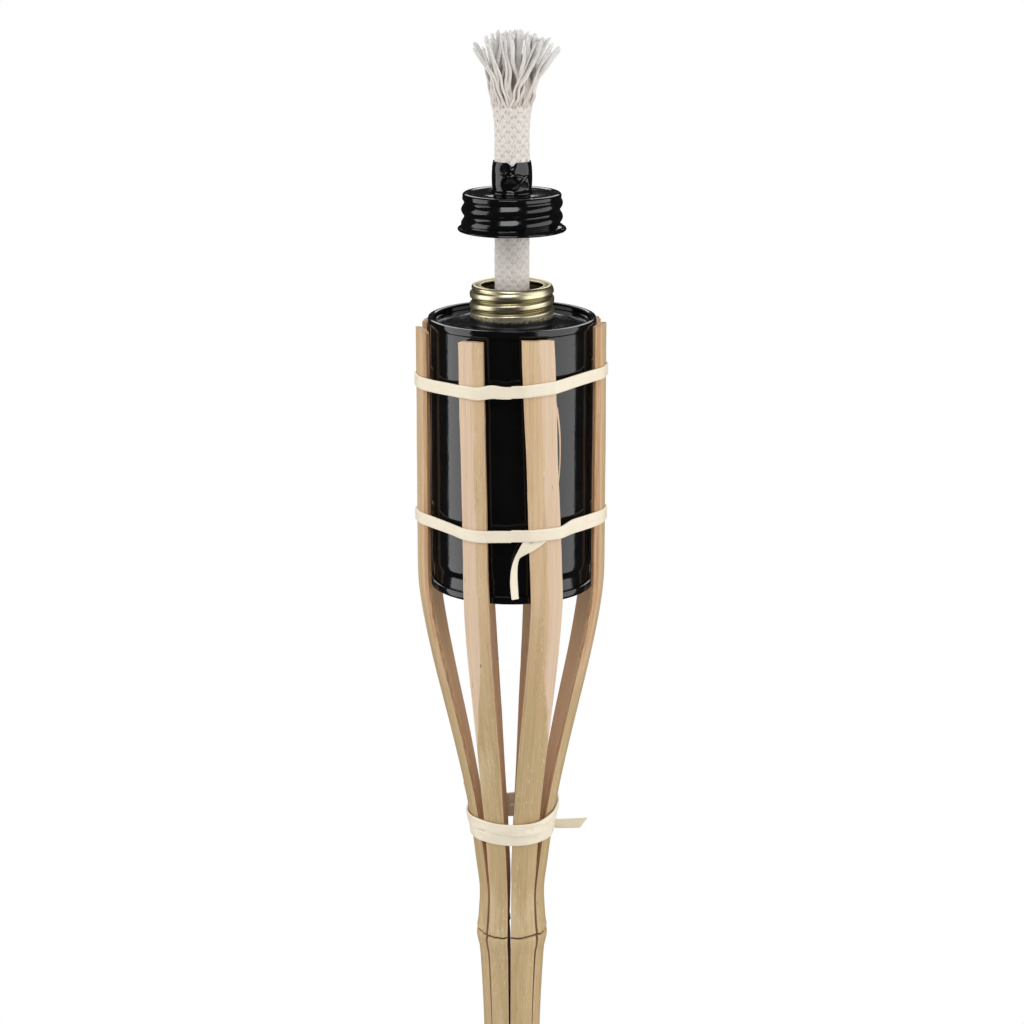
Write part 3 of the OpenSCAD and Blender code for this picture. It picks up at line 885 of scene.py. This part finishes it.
def make_filler_neck():
    around = circle(180)
    tall = NECK_TOP - NECK_FOOT
    side_z = np.linspace(0, tall - 1.3, 70)[:, None] + 0 * around[None, :]
    az = around[None, :] + 0 * side_z
    window = between(side_z, 3.7, 5.6, tall - 2.2, tall - 0.6)
    ridge = 1 - (1 - thread(side_z, centred(az), tall - 7.0, 4.2)) ** 2.6
    base = 16.2 + 0.06 * bumps(2, az * 16, side_z, 9, 5)
    side_r = base * (1 - window) + (15.35 + 0.95 * ridge) * window
    side_r = side_r - 0.35 * smooth(side_z, tall - 3.2, tall - 1.3)
    side_r = side_r + 0.25 * (1 - smooth(side_z, 0, 0.8))
    lip = [(15.55, 0.75), (15.2, 0.25), (14.8, 0.03), (14.4, 0.02), (14.0, 0.22), (13.2, 0.42), (12.6, 0.52),
           (12.35, 0.40), (12.1, 0.5), (12.0, 0.9), (12.15, 1.35), (12.9, 1.5), (14.2, 1.6), (14.35, 2.3)]
    lip_r, lip_z = turned([(r, tall - down) for r, down in lip], around)
    above = side_z[::-1, 0] - 0.9 > 0
    above[:2] = False
    inside_r = np.concatenate([np.minimum(side_r[::-1] - 0.6, 14.6)[above], 14.6 + 0 * side_r[:1]])
    inside_z = np.concatenate([side_z[::-1][above] - 0.9, 0 * side_z[:1]])
    radius = np.concatenate([side_r, lip_r, inside_r])
    height = np.concatenate([side_z, lip_z, inside_z])
    kind = np.zeros((*radius.shape, 4))
    kind[:, :, 0] = 0.93 - 0.45 * smooth(height, 0.2, 3.6) - 0.6 * smooth(height, 3.6, 6)
    rows = len(side_z)
    # painted shade: the gold darkens in the thread's grooves, in the lip's groove and down inside the mouth
    kind[:rows, :, 1] = 0.8 * window * (1 - ridge) ** 1.5
    kind[rows + 4:rows + 7, :, 1] = 0.9
    kind[rows + 10:, :, 1] = 0.85
    shape = lathe(radius, height + NECK_FOOT, around, kind)
    return shape.finish("filler_neck_gold", "canister", ["filler_neck"], "gold_lacquer", BRASS)


make_can_body()
make_can_top()
make_can_bottom()
make_filler_neck()


# ---------------------------------------------------------------- cap and wick tube

def make_cap():
    around = circle(200)
    drop = np.linspace(1.0, 12.9, 78)[:, None] + 0 * around[None, :]
    az = around[None, :] + 0 * drop
    window = between(drop, 1.6, 3.0, 12.0, 13.0)
    ridge = thread(-drop, centred(az), -5.2, 5.3, 0.75)
    side_r = 18.95 * (1 - window) + (18.35 + 1.15 * ridge) * window
    side_r = side_r + 0.05 * bumps(6, az * 19, drop, 7, 4)
    flare = smooth(drop, 12.0, 13.1)
    side_r = side_r + 0.9 * flare
    top = [(7.80, -0.35), (7.85, -0.08), (8.1, 0.0), (9.2, -0.03)]
    top += [(r, -0.32 * smooth(r, 9.5, 13.5) + 0.30 * smooth(r, 15.5, 17.6))
            for r in np.linspace(10, 17.7, 14)]
    top += [(18.3, -0.12), (18.7, -0.38), (18.92, -0.7)]
    top_r, top_z = turned(top, around)
    flange = [(20.35, -13.35), (20.75, -13.6), (20.88, -13.95), (20.75, -14.28), (20.4, -14.4),
              (20.05, -14.2), (19.9, -13.8)]
    flange_r, flange_z = turned(flange, around)
    inside_r, inside_z = side_r[::-1][4:] - 0.55, -drop[::-1][4:] - 0.25
    under = [(17.9, -0.75), (12, -0.62), (7.8, -0.62)]
    under_r, under_z = turned(under, around)
    radius = np.concatenate([top_r, side_r, flange_r, inside_r, under_r])
    height = np.concatenate([top_z, -drop, flange_z, inside_z, under_z])
    height = height + 0.06 * wander(9, around * 6 + 100, 2.3)[None, :] * smooth(-height, 12.5, 14)
    kind = np.zeros((*radius.shape, 4))
    kind[:, :, 0] = 0.32 * smooth(-height, 12.8, 13.6)
    shape = lathe(radius, height + CAP_TOP, around, kind)
    return shape.finish("screw_cap", "cap", ["cap"], "black_enamel", ENAMEL)


def tube_press(azimuth, height):
    """How far in the crimping tool pressed the tube, in mm, at degrees from a crimp's middle."""
    dents = [(-27, 9.6, 22, 2.5, 0.7), (27, 9.4, 20, 2.4, 0.7), (-8, 3.9, 32, 1.9, 0.75),
             (42, 2.4, 13, 1.9, 0.6), (0, 11.6, 9, 1.6, 0.45)]
    press = 0
    for az, h, az_width, h_width, depth in dents:
        press = press + depth * np.exp(-((azimuth - az) / az_width) ** 2 - ((height - h) / h_width) ** 2)
    crease = np.abs(azimuth - (6 + 38 * (height - 1.5) / 5.5)) / 5.5
    press = press - 0.5 * np.exp(-crease**2) * between(height, 0.8, 2.0, 6.4, 7.6)
    shelf = 0.42 * bell(height, 6.9 + 0.35 * np.sin(azimuth / 9), 0.42) * bell(azimuth, 2, 40)
    crumple = bumps(17, azimuth + 400, height + 50, 6.5, 0.75)
    return press - shelf + 0.16 * (bell(azimuth, -3, 15) * bell(height, 8.1, 1.7) * crumple)


def make_wick_tube():
    around = circle(220)
    tall = TUBE_TOP - CAP_TOP
    h = np.concatenate([[0.12, 0.3, 0.6, 0.9, 1.2], np.linspace(1.5, tall - 0.3, 66)])[:, None]
    az = degrees_at(around)[None, :] + 0 * h
    behind = degrees_at(around - math.pi)[None, :] + 0 * h
    barrel = 7.42 + 0.34 * np.sin(math.pi * np.clip(h / tall, 0, 1) ** 0.9) + 0.9 * (1 - smooth(h, 0.1, 1.5))
    barrel = barrel - 0.18 * smooth(h, tall - 2.5, tall)
    press = tube_press(az, h) + 0.75 * tube_press(-behind, h)
    press = np.clip(press, -0.2, 0.70) * smooth(h, 0.6, 2.0)
    notch = 1.5 * np.maximum(0, 1 - np.abs(az + 1) / 13) + 0.35 * np.maximum(0, 1 - np.abs(az - 6) / 9)
    side_h = h - notch * smooth(h, tall - 3.2, tall) + 0.05 * bumps(21, az + 400, h, 30, 3) * smooth(h, 9, 12)
    outer = barrel - press
    inner = outer - 0.42
    rim_r = outer[-1] - np.array([0.08, 0.22, 0.36])[:, None]
    rim_h = side_h[-1] + np.array([0.16, 0.22, 0.14])[:, None]
    foot = [(7.18, -0.4), (7.2, -1.26), (9.2, -1.24), (9.3, -0.95), (9.25, -0.68),
            (7.55, -0.6), (7.55, -0.03)]
    foot_r, foot_h = turned(foot, around)
    radius = np.concatenate([outer, rim_r, np.maximum(inner[::-1], 6.62), foot_r])
    height = np.concatenate([side_h, rim_h, side_h[::-1], foot_h])
    kind = np.zeros((*radius.shape, 4))
    kind[len(h) - 3:len(h) + 3, :, 0] = 0.3
    shape = lathe(radius, height + CAP_TOP, around, kind)
    return shape.finish("wick_tube_crimped", "collar", ["wick_tube"], "black_enamel", ENAMEL)


make_cap()
make_wick_tube()


# ---------------------------------------------------------------- wick

CARRIERS = 20
LAY = 74.0
LAY_R = 6.4
FRAY = 21.0
TUFT_R = 17.0


def tube_along(shape, path, half_wide, half_thick, outward, grain_at, kind, sides=6):
    """Yarn with an oval section along a path of points. outward gives the way its flat side faces."""
    tangent = np.gradient(path, axis=0)
    tangent /= np.linalg.norm(tangent, axis=1)[:, None]
    across = np.cross(tangent, outward)
    across /= np.linalg.norm(across, axis=1)[:, None] + 1e-9
    normal = np.cross(across, tangent)
    a = circle(sides)
    wide = np.broadcast_to(half_wide, len(path))[:, None, None]
    thick = np.broadcast_to(half_thick, len(path))[:, None, None]
    grid = path[:, None, :] + wide * np.cos(a)[None, :, None] * across[:, None, :] \
        + thick * np.sin(a)[None, :, None] * normal[:, None, :]
    along = np.concatenate([[0], np.cumsum(np.linalg.norm(np.diff(path, axis=0), axis=1))])
    grain = stack(np.cos(a)[None, :] * wide[:, :, 0] + grain_at,
                  np.sin(a)[None, :] * thick[:, :, 0], along[:, None])
    kind = np.broadcast_to(kind, (len(path), 4))[:, None, :]
    shape.add(grid, grain, kind, wrap_cols=True, cap=True)


def braid_radius(z):
    """Middle radius of the braid: even where the tube slides along it, and fuller towards the frayed end."""
    return 6.16 + 0.04 * wander(33, z, 9.0) + 1.1 * smooth(z, TUBE_TOP + 12, TUBE_TOP + FRAY + 2)


def make_wick():
    shape = Shape()
    rng = np.random.default_rng(7)
    z = np.linspace(WICK_FOOT + 0.3, TUBE_TOP + FRAY, 380)
    loose = smooth(z, TUBE_TOP + 2, TUBE_TOP + FRAY) + 0.25
    step = LAY / (2 * CARRIERS)
    lean = math.cos(math.atan2(TAU * LAY_R, LAY))
    ends = []
    for sense in (1, -1):
        for k in range(CARRIERS):
            turn = TAU * k / CARRIERS + sense * TAU * z / LAY
            # over two, under two, and the next yarn a step later, so the floats stand in columns
            phase = (z / step + (2 * k if sense > 0 else 3 - 2 * k)) / 4
            over = np.clip(1.5 * np.cos(TAU * (phase - 0.125)), -1, 1)
            size = 1 + 0.08 * rng.uniform(-1, 1)
            turn = turn + 0.035 * loose * wander(300 + k + 40 * sense, z, 8)
            pair = []
            for ply in (-1, 1):
                own = 100 + k + 20 * ply + 60 * sense
                radius = braid_radius(z) + 0.27 * over + 0.07 * wander(own, z, 3.1)
                aside = ply * (0.43 + 0.06 * wander(own + 200, z, 5)) / lean
                x, y = on_ring(radius, turn + aside / LAY_R)
                path = stack(x, y, z)
                outward = stack(x, y, 0 * x) / radius[:, None]
                # painted shade: the first number darkens the yarn where it passes under its neighbours
                kind = stack((0.5 - 0.5 * over) * 0.85, 0 * z, 0 * z + 0.35 * rng.uniform(), 0 * z)
                plump = 1 + 0.10 * over
                tube_along(shape, path, 0.56 * size * plump, 0.34 * size, outward,
                           13.7 * len(ends) + 5 * ply, kind)
                pair.append((path[-1], path[-1] - path[-4]))
            ends.append(pair)
    core_z = np.linspace(WICK_FOOT, TUBE_TOP + FRAY + 1, 60)
    core_r = (braid_radius(core_z) - 0.12)[:, None] * np.ones(32)
    core_r[[0, -1]] = 0.3
    x, y = on_ring(core_r, circle(32)[None, :])
    grid = stack(x, y, core_z[:, None] + 0 * x)
    # the core is drawn darker as painted shade, since it shows only between the yarns
    shape.add(grid, grid, (0.6, 0, 0, 0), wrap_cols=True, cap=True)
    add_tuft(shape, ends, rng)
    return shape.finish("wick_braid", "wick", ["wick"], "cotton", COTTON, sharp=80)


def add_tuft(shape, ends, rng):
    """The braid's yarns come loose above it, kink where they were plaited, and splay."""
    s = np.linspace(0, 1, 30)
    inner = []
    for _ in range(22):
        x, y = on_ring(5.2 * math.sqrt(rng.uniform()), rng.uniform(0, TAU))
        inner.append([(np.array([x, y, TUBE_TOP + FRAY - 1]), np.array([0, 0, 1.0]))])
    for number, plies in enumerate(ends + inner):
        core = len(plies) == 1
        together = not core and rng.uniform() < 0.5
        azimuth = math.atan2(plies[0][0][0], -plies[0][0][1])
        for ply, (base, heading) in enumerate(plies):
            if ply == 0 or not together:
                reach = rng.uniform(0, 0.6) if core else rng.uniform(0.12, 1.0) ** 0.62
                x, y = on_ring(TUFT_R * reach, azimuth + rng.normal(0, 0.35))
                x, y = 1.06 * x + 1.0, 0.88 * y
                height = WICK_TOP - 0.9 - 5.0 * reach**2 * rng.uniform(0.5, 1) - rng.uniform(0, 2.2)
                height -= 2.6 * max(0, x - 5) / 13
                tip = np.array([x, y, height])
                rise = tip[2] - base[2]
                lift = heading / np.linalg.norm(heading) * 0.22 * rise
                middle = np.array([0.62 * base[0] + 0.30 * x, 0.62 * base[1] + 0.30 * y,
                                   base[2] + 0.55 * rise])
                kink, turns, phase = rng.uniform(0.25, 0.65), rng.uniform(1.2, 2.4), rng.uniform(0, TAU)
                spin = rng.uniform(-1.6, 1.6)
            path = bezier([base, base + lift, middle, tip], s)
            swing = kink * np.sin(math.pi * s) ** 0.7
            out, side = directions(azimuth)
            path = path + side * (swing * np.sin(turns * TAU * s + phase))[:, None]
            path = path + out * (0.8 * swing * np.cos(turns * TAU * s + phase))[:, None]
            facing = out * np.cos(spin * s)[:, None] + side * np.sin(spin * s)[:, None]
            if together:
                beside = side * np.cos(spin * s)[:, None] - out * np.sin(spin * s)[:, None]
                path = path + beside * ((ply - 0.5) * 0.95 * smooth(s, 0, 0.3))[:, None]
            width = rng.uniform(0.48, 0.60) if together else rng.uniform(0.60, 1.05)
            round_end = np.sqrt(np.clip((1.0 - s) / 0.035, 0.12, 1))
            flat = 0.46 - 0.10 * smooth(s, 0.7, 1)
            tip_share = smooth(s, 0.5, 1.0)
            # painted shade: each tuft yarn is darker near its root, where the yarns crowd
            painted_root_shade = 0.6 * (1 - smooth(s, 0.0, 0.4)) * rng.uniform(0.1, 1)
            kind = stack(painted_root_shade, tip_share, 0.9 * rng.uniform(0, 1) * (1 - 0.7 * tip_share), 0 * s)
            grow = 0.56 + (width - 0.56) * smooth(s, 0, 0.25)
            wide = grow * round_end * (1 + 0.18 * smooth(s, 0.75, 0.97))
            tube_along(shape, path, wide, flat * round_end, facing, 7.1 * number + 3 * ply, kind, sides=8)
            # short fibres stand out of the cut end
            end = path[-1] - path[-4]
            q = np.linspace(0, 1, 5)
            for _ in range(3):
                go = end / np.linalg.norm(end) * rng.uniform(0.6, 1.2)
                start = path[-2] + rng.normal(0, 0.22, 3)
                fibre = start + (go + rng.normal(0, 0.3, 3)) * q[:, None]
                fibre[:, 2] = np.minimum(fibre[:, 2], WICK_TOP - 0.05)
                tube_along(shape, fibre, 0.20 - 0.12 * q, 0.16 - 0.1 * q, facing[:5], 3.3 * number,
                           (0, 1, 0, 0), sides=5)


make_wick()


# ---------------------------------------------------------------- bands

RING_STEPS = 720
RING_AZ = circle(RING_STEPS)


def hull_radius(z):
    """Distance from the axis to a string tied round the slats at height z, at each azimuth."""
    xy = []
    for i in range(8):
        sideways, radial = slat_section(i, np.array([z]))
        xy.append(slat_points(i, sideways, radial, 0 * radial)[0, :, :2])
    xy = np.concatenate(xy)
    order = xy[np.lexsort((xy[:, 1], xy[:, 0]))]

    def chain(points):
        made = []
        for p in points:
            while len(made) > 1 and np.cross(made[-1] - made[-2], p - made[-2]) <= 0:
                made.pop()
            made.append(p)
        return made[:-1]

    corners = np.array(chain(order) + chain(order[::-1]))
    directions = np.stack(on_ring(1.0, RING_AZ), 1)
    far = np.zeros(RING_STEPS)
    for a, b in zip(corners, np.roll(corners, -1, 0)):
        edge = b - a
        det = directions[:, 0] * -edge[1] + directions[:, 1] * edge[0]
        with np.errstate(divide="ignore", invalid="ignore"):
            reach = (a[0] * -edge[1] + a[1] * edge[0]) / det
            along = (directions[:, 0] * a[1] - directions[:, 1] * a[0]) / det
        hit = (reach > 0) & (along >= -1e-9) & (along <= 1 + 1e-9)
        far = np.where(hit, np.maximum(far, reach), far)
    return far


def eased(values, window):
    """The ring's corners rounded a little, without going inside it."""
    kernel = np.hanning(2 * window + 1)
    kernel /= kernel.sum()
    padded = np.concatenate([values[-window:], values, values[:window]])
    soft = np.convolve(padded, kernel, "valid")
    return soft + max(0, (values - soft).max() * 0.6)


class Ring:
    """Radius of a string round the slats, by azimuth and height."""

    def __init__(self, low, high, window=5, levels=7):
        self.z = np.linspace(low, high, levels)
        self.table = np.stack([eased(hull_radius(z), window) for z in self.z])

    def __call__(self, azimuth, z):
        k = (np.asarray(azimuth) % TAU) / TAU * RING_STEPS
        i = np.floor(k).astype(int)
        f = k - i
        level = np.clip((np.asarray(z) - self.z[0]) / (self.z[-1] - self.z[0]) * (len(self.z) - 1), 0,
                        len(self.z) - 1.001)
        j = np.floor(level).astype(int)
        g = level - j
        low = self.table[j, i % RING_STEPS] * (1 - f) + self.table[j, (i + 1) % RING_STEPS] * f
        high = self.table[j + 1, i % RING_STEPS] * (1 - f) + self.table[j + 1, (i + 1) % RING_STEPS] * f
        return low * (1 - g) + high * g


STRIP_V = np.array([-1, -0.99, -0.93, -0.7, -0.35, 0, 0.35, 0.7, 0.93, 0.99, 1])
STRIP_RIM = np.array([0, 0.32, 0.5, 0.5, 0.5, 0.5, 0.5, 0.5, 0.5, 0.32, 0])


def strip_loop():
    """Section of a flat strip: share of its half width, and share of its thickness from its middle."""
    v = np.concatenate([STRIP_V, STRIP_V[::-1][1:-1]])
    n = np.concatenate([STRIP_RIM, -STRIP_RIM[::-1][1:-1]])
    return v, n


def add_wrapped(shape, ring, azimuth, middle, width, lift, thick=0.8, closed=True, crease=None):
    """Flat strip round the slats. middle (from the can's foot), width and lift are arrays by azimuth."""
    v, n = strip_loop()
    middle, width, lift = (np.broadcast_to(a, azimuth.shape)[:, None] for a in (middle, width, lift))
    z = middle + v[None, :] * width / 2
    radius = ring(azimuth[:, None] + 0 * z, z) + lift + thick * (0.5 + n[None, :])
    if crease is not None:
        radius = radius + crease(azimuth[:, None], v[None, :])
    x, y = on_ring(radius, azimuth[:, None])
    grid = stack(x, y, z + CAN_FOOT)
    kind = np.zeros((*z.shape, 4))
    # painted highlight: the first number makes the strip's rims paler
    kind[:, :, 0] = smooth(np.abs(v), 0.85, 1.0)[None, :]
    kind[:, :, 1] = 0.5 + 0.05 * v[None, :] * width
    shape.add(grid, grid, kind, wrap_rows=closed, wrap_cols=True, cap=not closed)


def add_strip(shape, path, across, facing, half_width, thick):
    """Free piece of strip along a path, with the way across it at each point."""
    v, n = strip_loop()
    across = across / np.linalg.norm(across, axis=1)[:, None]
    facing = facing / np.linalg.norm(facing, axis=1)[:, None]
    half = np.broadcast_to(half_width, len(path))[:, None, None]
    grid = path[:, None, :] + half * v[None, :, None] * across[:, None, :] \
        + thick * n[None, :, None] * facing[:, None, :]
    kind = np.zeros((len(path), len(v), 4))
    # painted highlight: the first number makes the strip's rims paler
    kind[:, :, 0] = smooth(np.abs(v), 0.85, 1.0)[None, :]
    kind[:, :, 1] = 0.5 + 0.1 * v[None, :] * half[:, :, 0]
    shape.add(grid, grid, kind, wrap_cols=True, cap=True)


def waver(seed, azimuth, period):
    """Smooth random curve round the slats, where a radian counts as 10."""
    return wander(seed, azimuth * 10 + 60, period)


def dimples(seed, azimuth, v, scale=36, period=7):
    """Random bumps over a strip."""
    return bumps(seed, azimuth * scale + 50, v * 2 + 20, period, 0.8)


def make_upper_band():
    centre = np.mean(ends("upper_band")) - CAN_FOOT
    azimuth = circle(360)
    tilt = math.tan(math.radians(3)) * 36 * np.sin(azimuth)
    az = degrees_at(azimuth)
    middle = centre + tilt + 0.35 * waver(41, azimuth, 6.5) + 0.5 * bell(az, -12, 5) - 0.35 * bell(az, -22, 5)
    width = 4.7 + 0.25 * waver(42, azimuth, 5.0) + 0.4 * bell(az, -14, 7)
    ring = Ring(centre - 6, centre + 6)
    shape = Shape()

    def crease(azimuth_of, v):
        d = degrees_at(azimuth_of)
        fold = 0.16 * bell(v, 0.15 + 0.03 * (d + 14), 0.2) * bell(d, -13, 5)
        return fold + 0.05 * dimples(43, azimuth_of, v) - 0.03 * (np.abs(v) < 0.6)

    add_wrapped(shape, ring, azimuth, middle, width, 0.08, crease=crease)
    return shape.finish("upper_band_latex", "stand", ["upper_band"], "elastic_band", LATEX, sharp=60)


def make_lower_band():
    centre = 28.3
    azimuth = circle(360)
    az = degrees_at(azimuth)
    # the strip steps up over the gap right of the front slat, where it lies flat and wide
    middle = centre + 0.3 * waver(44, azimuth, 6.5) + 1.0 * smooth(az, 28, 45) - 1.0 * smooth(az, 80, 120)
    middle = middle - 0.5 * bell(az, -25, 12)
    width = 4.6 + 0.9 * between(az, 30, 44, 70, 95) + 0.2 * waver(45, azimuth, 5)
    ring = Ring(centre - 6, centre + 6)
    shape = Shape()

    def crease(azimuth_of, v):
        d = degrees_at(azimuth_of)
        fold = 0.22 * smooth(-(v - 0.75 + 0.045 * (d - 22)), -0.12, 0.0) * bell(d, 32, 11)
        return fold + 0.05 * dimples(46, azimuth_of, v)

    add_wrapped(shape, ring, azimuth, middle, width, 0.08, crease=crease)

    # its end comes out from under the strip as a folded corner, turns down and hangs on its edge
    half = slat_half_width(FRONT_SLAT, np.array(centre))
    slat_left = slat_azimuth(FRONT_SLAT) + (stray(FRONT_SLAT, centre) - half) / CAGE_R
    s = np.linspace(0, 1, 60)

    def curve(points, t):
        return bezier([(x, centre - down) for x, down in points], t)

    left = curve([(-2.2, 1.8), (-5.4, 7.5), (-8.6, 11.5), (-6.7, 24.6)], s)
    right = np.concatenate([
        curve([(7.8, 1.6), (3.0, 5.6), (-2.2, 6.9), (-3.8, 8.6)], np.linspace(0, 1, 24)),
        curve([(-3.8, 8.6), (-5.1, 11), (-4.6, 18), (-4.1, 24.9)], np.linspace(0, 1, 37))[1:]])
    away = bezier([(0.25, 0.25), (0.7, 0.7), (2.2, 1.5), (1.9, 0.7)], s)
    lifts = away[:, 0] + 0.5 * smooth(s, 0.2, 0.6), away[:, 1] - 0.9 * smooth(s, 0.3, 0.7)
    points = []
    for edge, lift in zip((left, right), lifts):
        angle = slat_left + edge[:, 0] / CAGE_R
        x, y = on_ring(ring(angle, centre + 0 * angle) + lift, angle)
        points.append(stack(x, y, edge[:, 1] + CAN_FOOT))
    across = points[0] - points[1]
    path = (points[0] + points[1]) / 2
    half = np.linalg.norm(across, axis=1) / 2
    facing = np.cross(across, np.gradient(path, axis=0))
    add_strip(shape, path, across, facing, half, 0.5)
    return shape.finish("lower_band_latex", "stand", ["lower_band"], "elastic_band", LATEX, sharp=60)


def make_neck_band():
    centre = -100.0
    azimuth = circle(480)
    ring = Ring(centre - 9, centre + 13, window=9, levels=15)

    def at_view(azimuth_of):
        """Azimuth in degrees as the neck's panel of the photo shows it, from 18 degrees to the right."""
        return (degrees_at(azimuth_of) - 18 + 180) % 360 - 180

    view = at_view(azimuth)
    # the upper turn dips at the front and climbs to the right, and the lower one runs level under it
    climb = between(view, 8, 74, 95, 175)
    over = centre + 2.3 + 3.5 * climb - 0.4 * bell(view, -8, 30) + 0.3 * smooth(-view, 30, 70)
    under = centre - 2.35 - 0.35 * bell(view, 5, 40) + 0.6 * between(view, 30, 75, 100, 160)
    width_over = 4.9 + 0.25 * waver(47, azimuth, 6) + 2.3 * bell(view, 84, 22)
    # the lower one is wide enough to reach under the upper one, but for a slit at the right
    fill = 2.3 * between(view, 0, 34, 110, 165) - 1.9 * bell(view, 57, 7.5)
    under = under + fill / 2
    width_under = 4.9 + fill + 0.2 * waver(48, azimuth, 6)
    shape = Shape()

    def crease_over(azimuth_of, v):
        d = at_view(azimuth_of)
        cross = 0.62 * smooth(-(v + 0.55 - 0.030 * (d + 8)), -0.10, 0.03) * bell(d, 10, 26)
        pleat = -0.62 * bell(v + 0.62 - 0.030 * (d + 52), 0, 0.13) * bell(d, -46, 17)
        roll = 0.55 * bell(v - 0.2 - 0.012 * d, 0, 0.35) * bell(d, -38, 20)
        fold = 0.5 * smooth(v - 0.45 + 0.022 * (d - 12), -0.08, 0.02) * bell(d, 26, 20)
        return cross + pleat + roll + fold + 0.16 * dimples(49, azimuth_of, v, 16, 4)

    def crease_under(azimuth_of, v):
        d = at_view(azimuth_of)
        fold = 0.45 * bell(v - 0.35 + 0.022 * (d - 20), 0, 0.16) * bell(d, 24, 22)
        tuck = 0.45 * smooth(v - 0.1 - 0.02 * (d + 40), -0.06, 0.04) * bell(d, -46, 18)
        return fold + tuck + 0.16 * dimples(50, azimuth_of, v, 16, 4)

    add_wrapped(shape, ring, azimuth, under, width_under, 0.05, crease=crease_under)
    add_wrapped(shape, ring, azimuth, over, width_over, 0.40, crease=crease_over)

    # one end stands out to the right, cut slanting and curled along its upper rim
    s = np.linspace(0, 1, 30)
    start = ring(np.array([math.radians(90)]), np.array([centre - 1.5]))[0]
    rise = 1.7 * s**1.3 - 1.3 * smooth(s, 0, 0.3)
    path = stack(start - 2.2 + 15.1 * s, 2.6 - 3.7 * s, centre - 1.3 + rise + CAN_FOOT)
    across = stack(0 * s + 0.06, -0.25 + 0.45 * s, 0 * s + 1)
    add_strip(shape, path, across, np.cross(across, np.gradient(path, axis=0)), 2.15, 0.5)
    # its last third is cut slanting, and the upper rim curls towards the front
    v = strip_loop()[0]
    rows = shape.points[-1].reshape(len(s), len(v), 3)
    slant = smooth(s, 0.62, 1.0)[:, None]
    rows[:, :, 0] += slant * (1.4 * v[None, :] - 0.3)
    rows[:, :, 1] -= 1.21 * np.maximum(0, v[None, :] - 0.55) ** 1.2

    # the other end sticks up a little at the back left
    s = np.linspace(0, 1, 18)
    back = math.radians(-118)
    r = ring(np.array([back]), np.array([centre + 3]))[0]
    out, side = directions(back)
    path = out * (r + 0.9 + 3.0 * s[:, None] ** 1.4)
    path[:, 2] = CAN_FOOT + centre + 0.5 + 12.2 * s
    across = side + 0 * path + 0.25 * s[:, None] * out
    add_strip(shape, path, across, np.cross(across, np.gradient(path, axis=0)), 2.3 - 0.4 * s, 0.55)
    return shape.finish("neck_band_latex", "stand", ["neck_band"], "elastic_band", LATEX, sharp=60)


make_upper_band()
make_lower_band()
make_neck_band()


# ---------------------------------------------------------------- floor and light

FLOOR_R = 1.3


def make_floor():
    """Pale disc that fades into the white round it."""
    mesh = bpy.data.meshes.new("floor")
    level = cad_box[0][2] - 0.0005
    ring = [(FLOOR_R * math.cos(t), FLOOR_R * math.sin(t), level) for t in circle(96)]
    mesh.from_pydata(ring, [], [list(range(96))])
    m = Nodes("floor")
    place = m.node("TexCoord").outputs["Object"]
    far = m.node("VectorMath", {"operation": "LENGTH"})
    m.put(far.inputs[0], m.scaled(place, (1, 1, 0)))
    mottle = m.noise(place, 2.0, 3)
    paper = m.node("BsdfPrincipled", Roughness=0.9, Specular_IOR_Level=0.1, Emission_Color=(1, 1, 1),
                   Emission_Strength=0.10, Base_Color=m.mix(mottle, (0.86, 0.86, 0.86), (0.9, 0.9, 0.9)))
    clear = m.node("BsdfTransparent")
    both = m.node("MixShader")
    for socket, value in zip(both.inputs, (m.step(far.outputs["Value"], 0.35, 1.2), paper.outputs[0],
                                           clear.outputs[0])):
        m.tree.links.new(value, socket)
    m.tree.links.new(both.outputs[0], m.node("OutputMaterial").inputs["Surface"])
    mesh.materials.append(m.material)
    floor = add_object("floor", mesh)
    floor.visible_glossy = False


LAMP_AIM = Vector((0, 0, 0.55))


def softbox(name, azimuth, elevation, distance, width, height, power):
    light = bpy.data.lights.new(name, "AREA")
    light.shape = "RECTANGLE"
    light.size, light.size_y = width, height
    light.energy = power
    lamp = add_object(name, light)
    a, e = math.radians(azimuth), math.radians(elevation)
    away = Vector((math.sin(a) * math.cos(e), -math.cos(a) * math.cos(e), math.sin(e)))
    lamp.location = LAMP_AIM + distance * away
    face_from(lamp, away)
    lamp.visible_camera = False


make_floor()
softbox("left_box", -80, 5, 1.35, 1.1, 1.7, 13)
softbox("right_box", 67, 5, 1.35, 1.75, 1.7, 17)
softbox("top_box", -12, 52, 1.3, 0.7, 0.5, 5)
softbox("back_box", 180, 35, 1.8, 1.4, 0.8, 8)

world = bpy.data.worlds.new("studio")
bpy.context.scene.world = world
world.use_nodes = True
tree = world.node_tree
tree.nodes.clear()


def background(strength, color=(1, 1, 1, 1)):
    made = tree.nodes.new("ShaderNodeBackground")
    made.inputs["Color"].default_value = color
    made.inputs["Strength"].default_value = strength
    return made.outputs[0]


def choose(share, a, b):
    made = tree.nodes.new("ShaderNodeMixShader")
    for socket, value in zip(made.inputs, (share, a, b)):
        tree.links.new(value, socket)
    return made.outputs[0]


# white paper behind the object, a bright room for soft light, and a dim one in reflections
ray = tree.nodes.new("ShaderNodeLightPath").outputs
dim_or_bright = choose(ray["Is Glossy Ray"], background(0.40), background(0.02))
out = tree.nodes.new("ShaderNodeOutputWorld")
tree.links.new(choose(ray["Is Camera Ray"], dim_or_bright, background(1.0)), out.inputs["Surface"])
bpy.context.scene.view_settings.view_transform = "Standard"
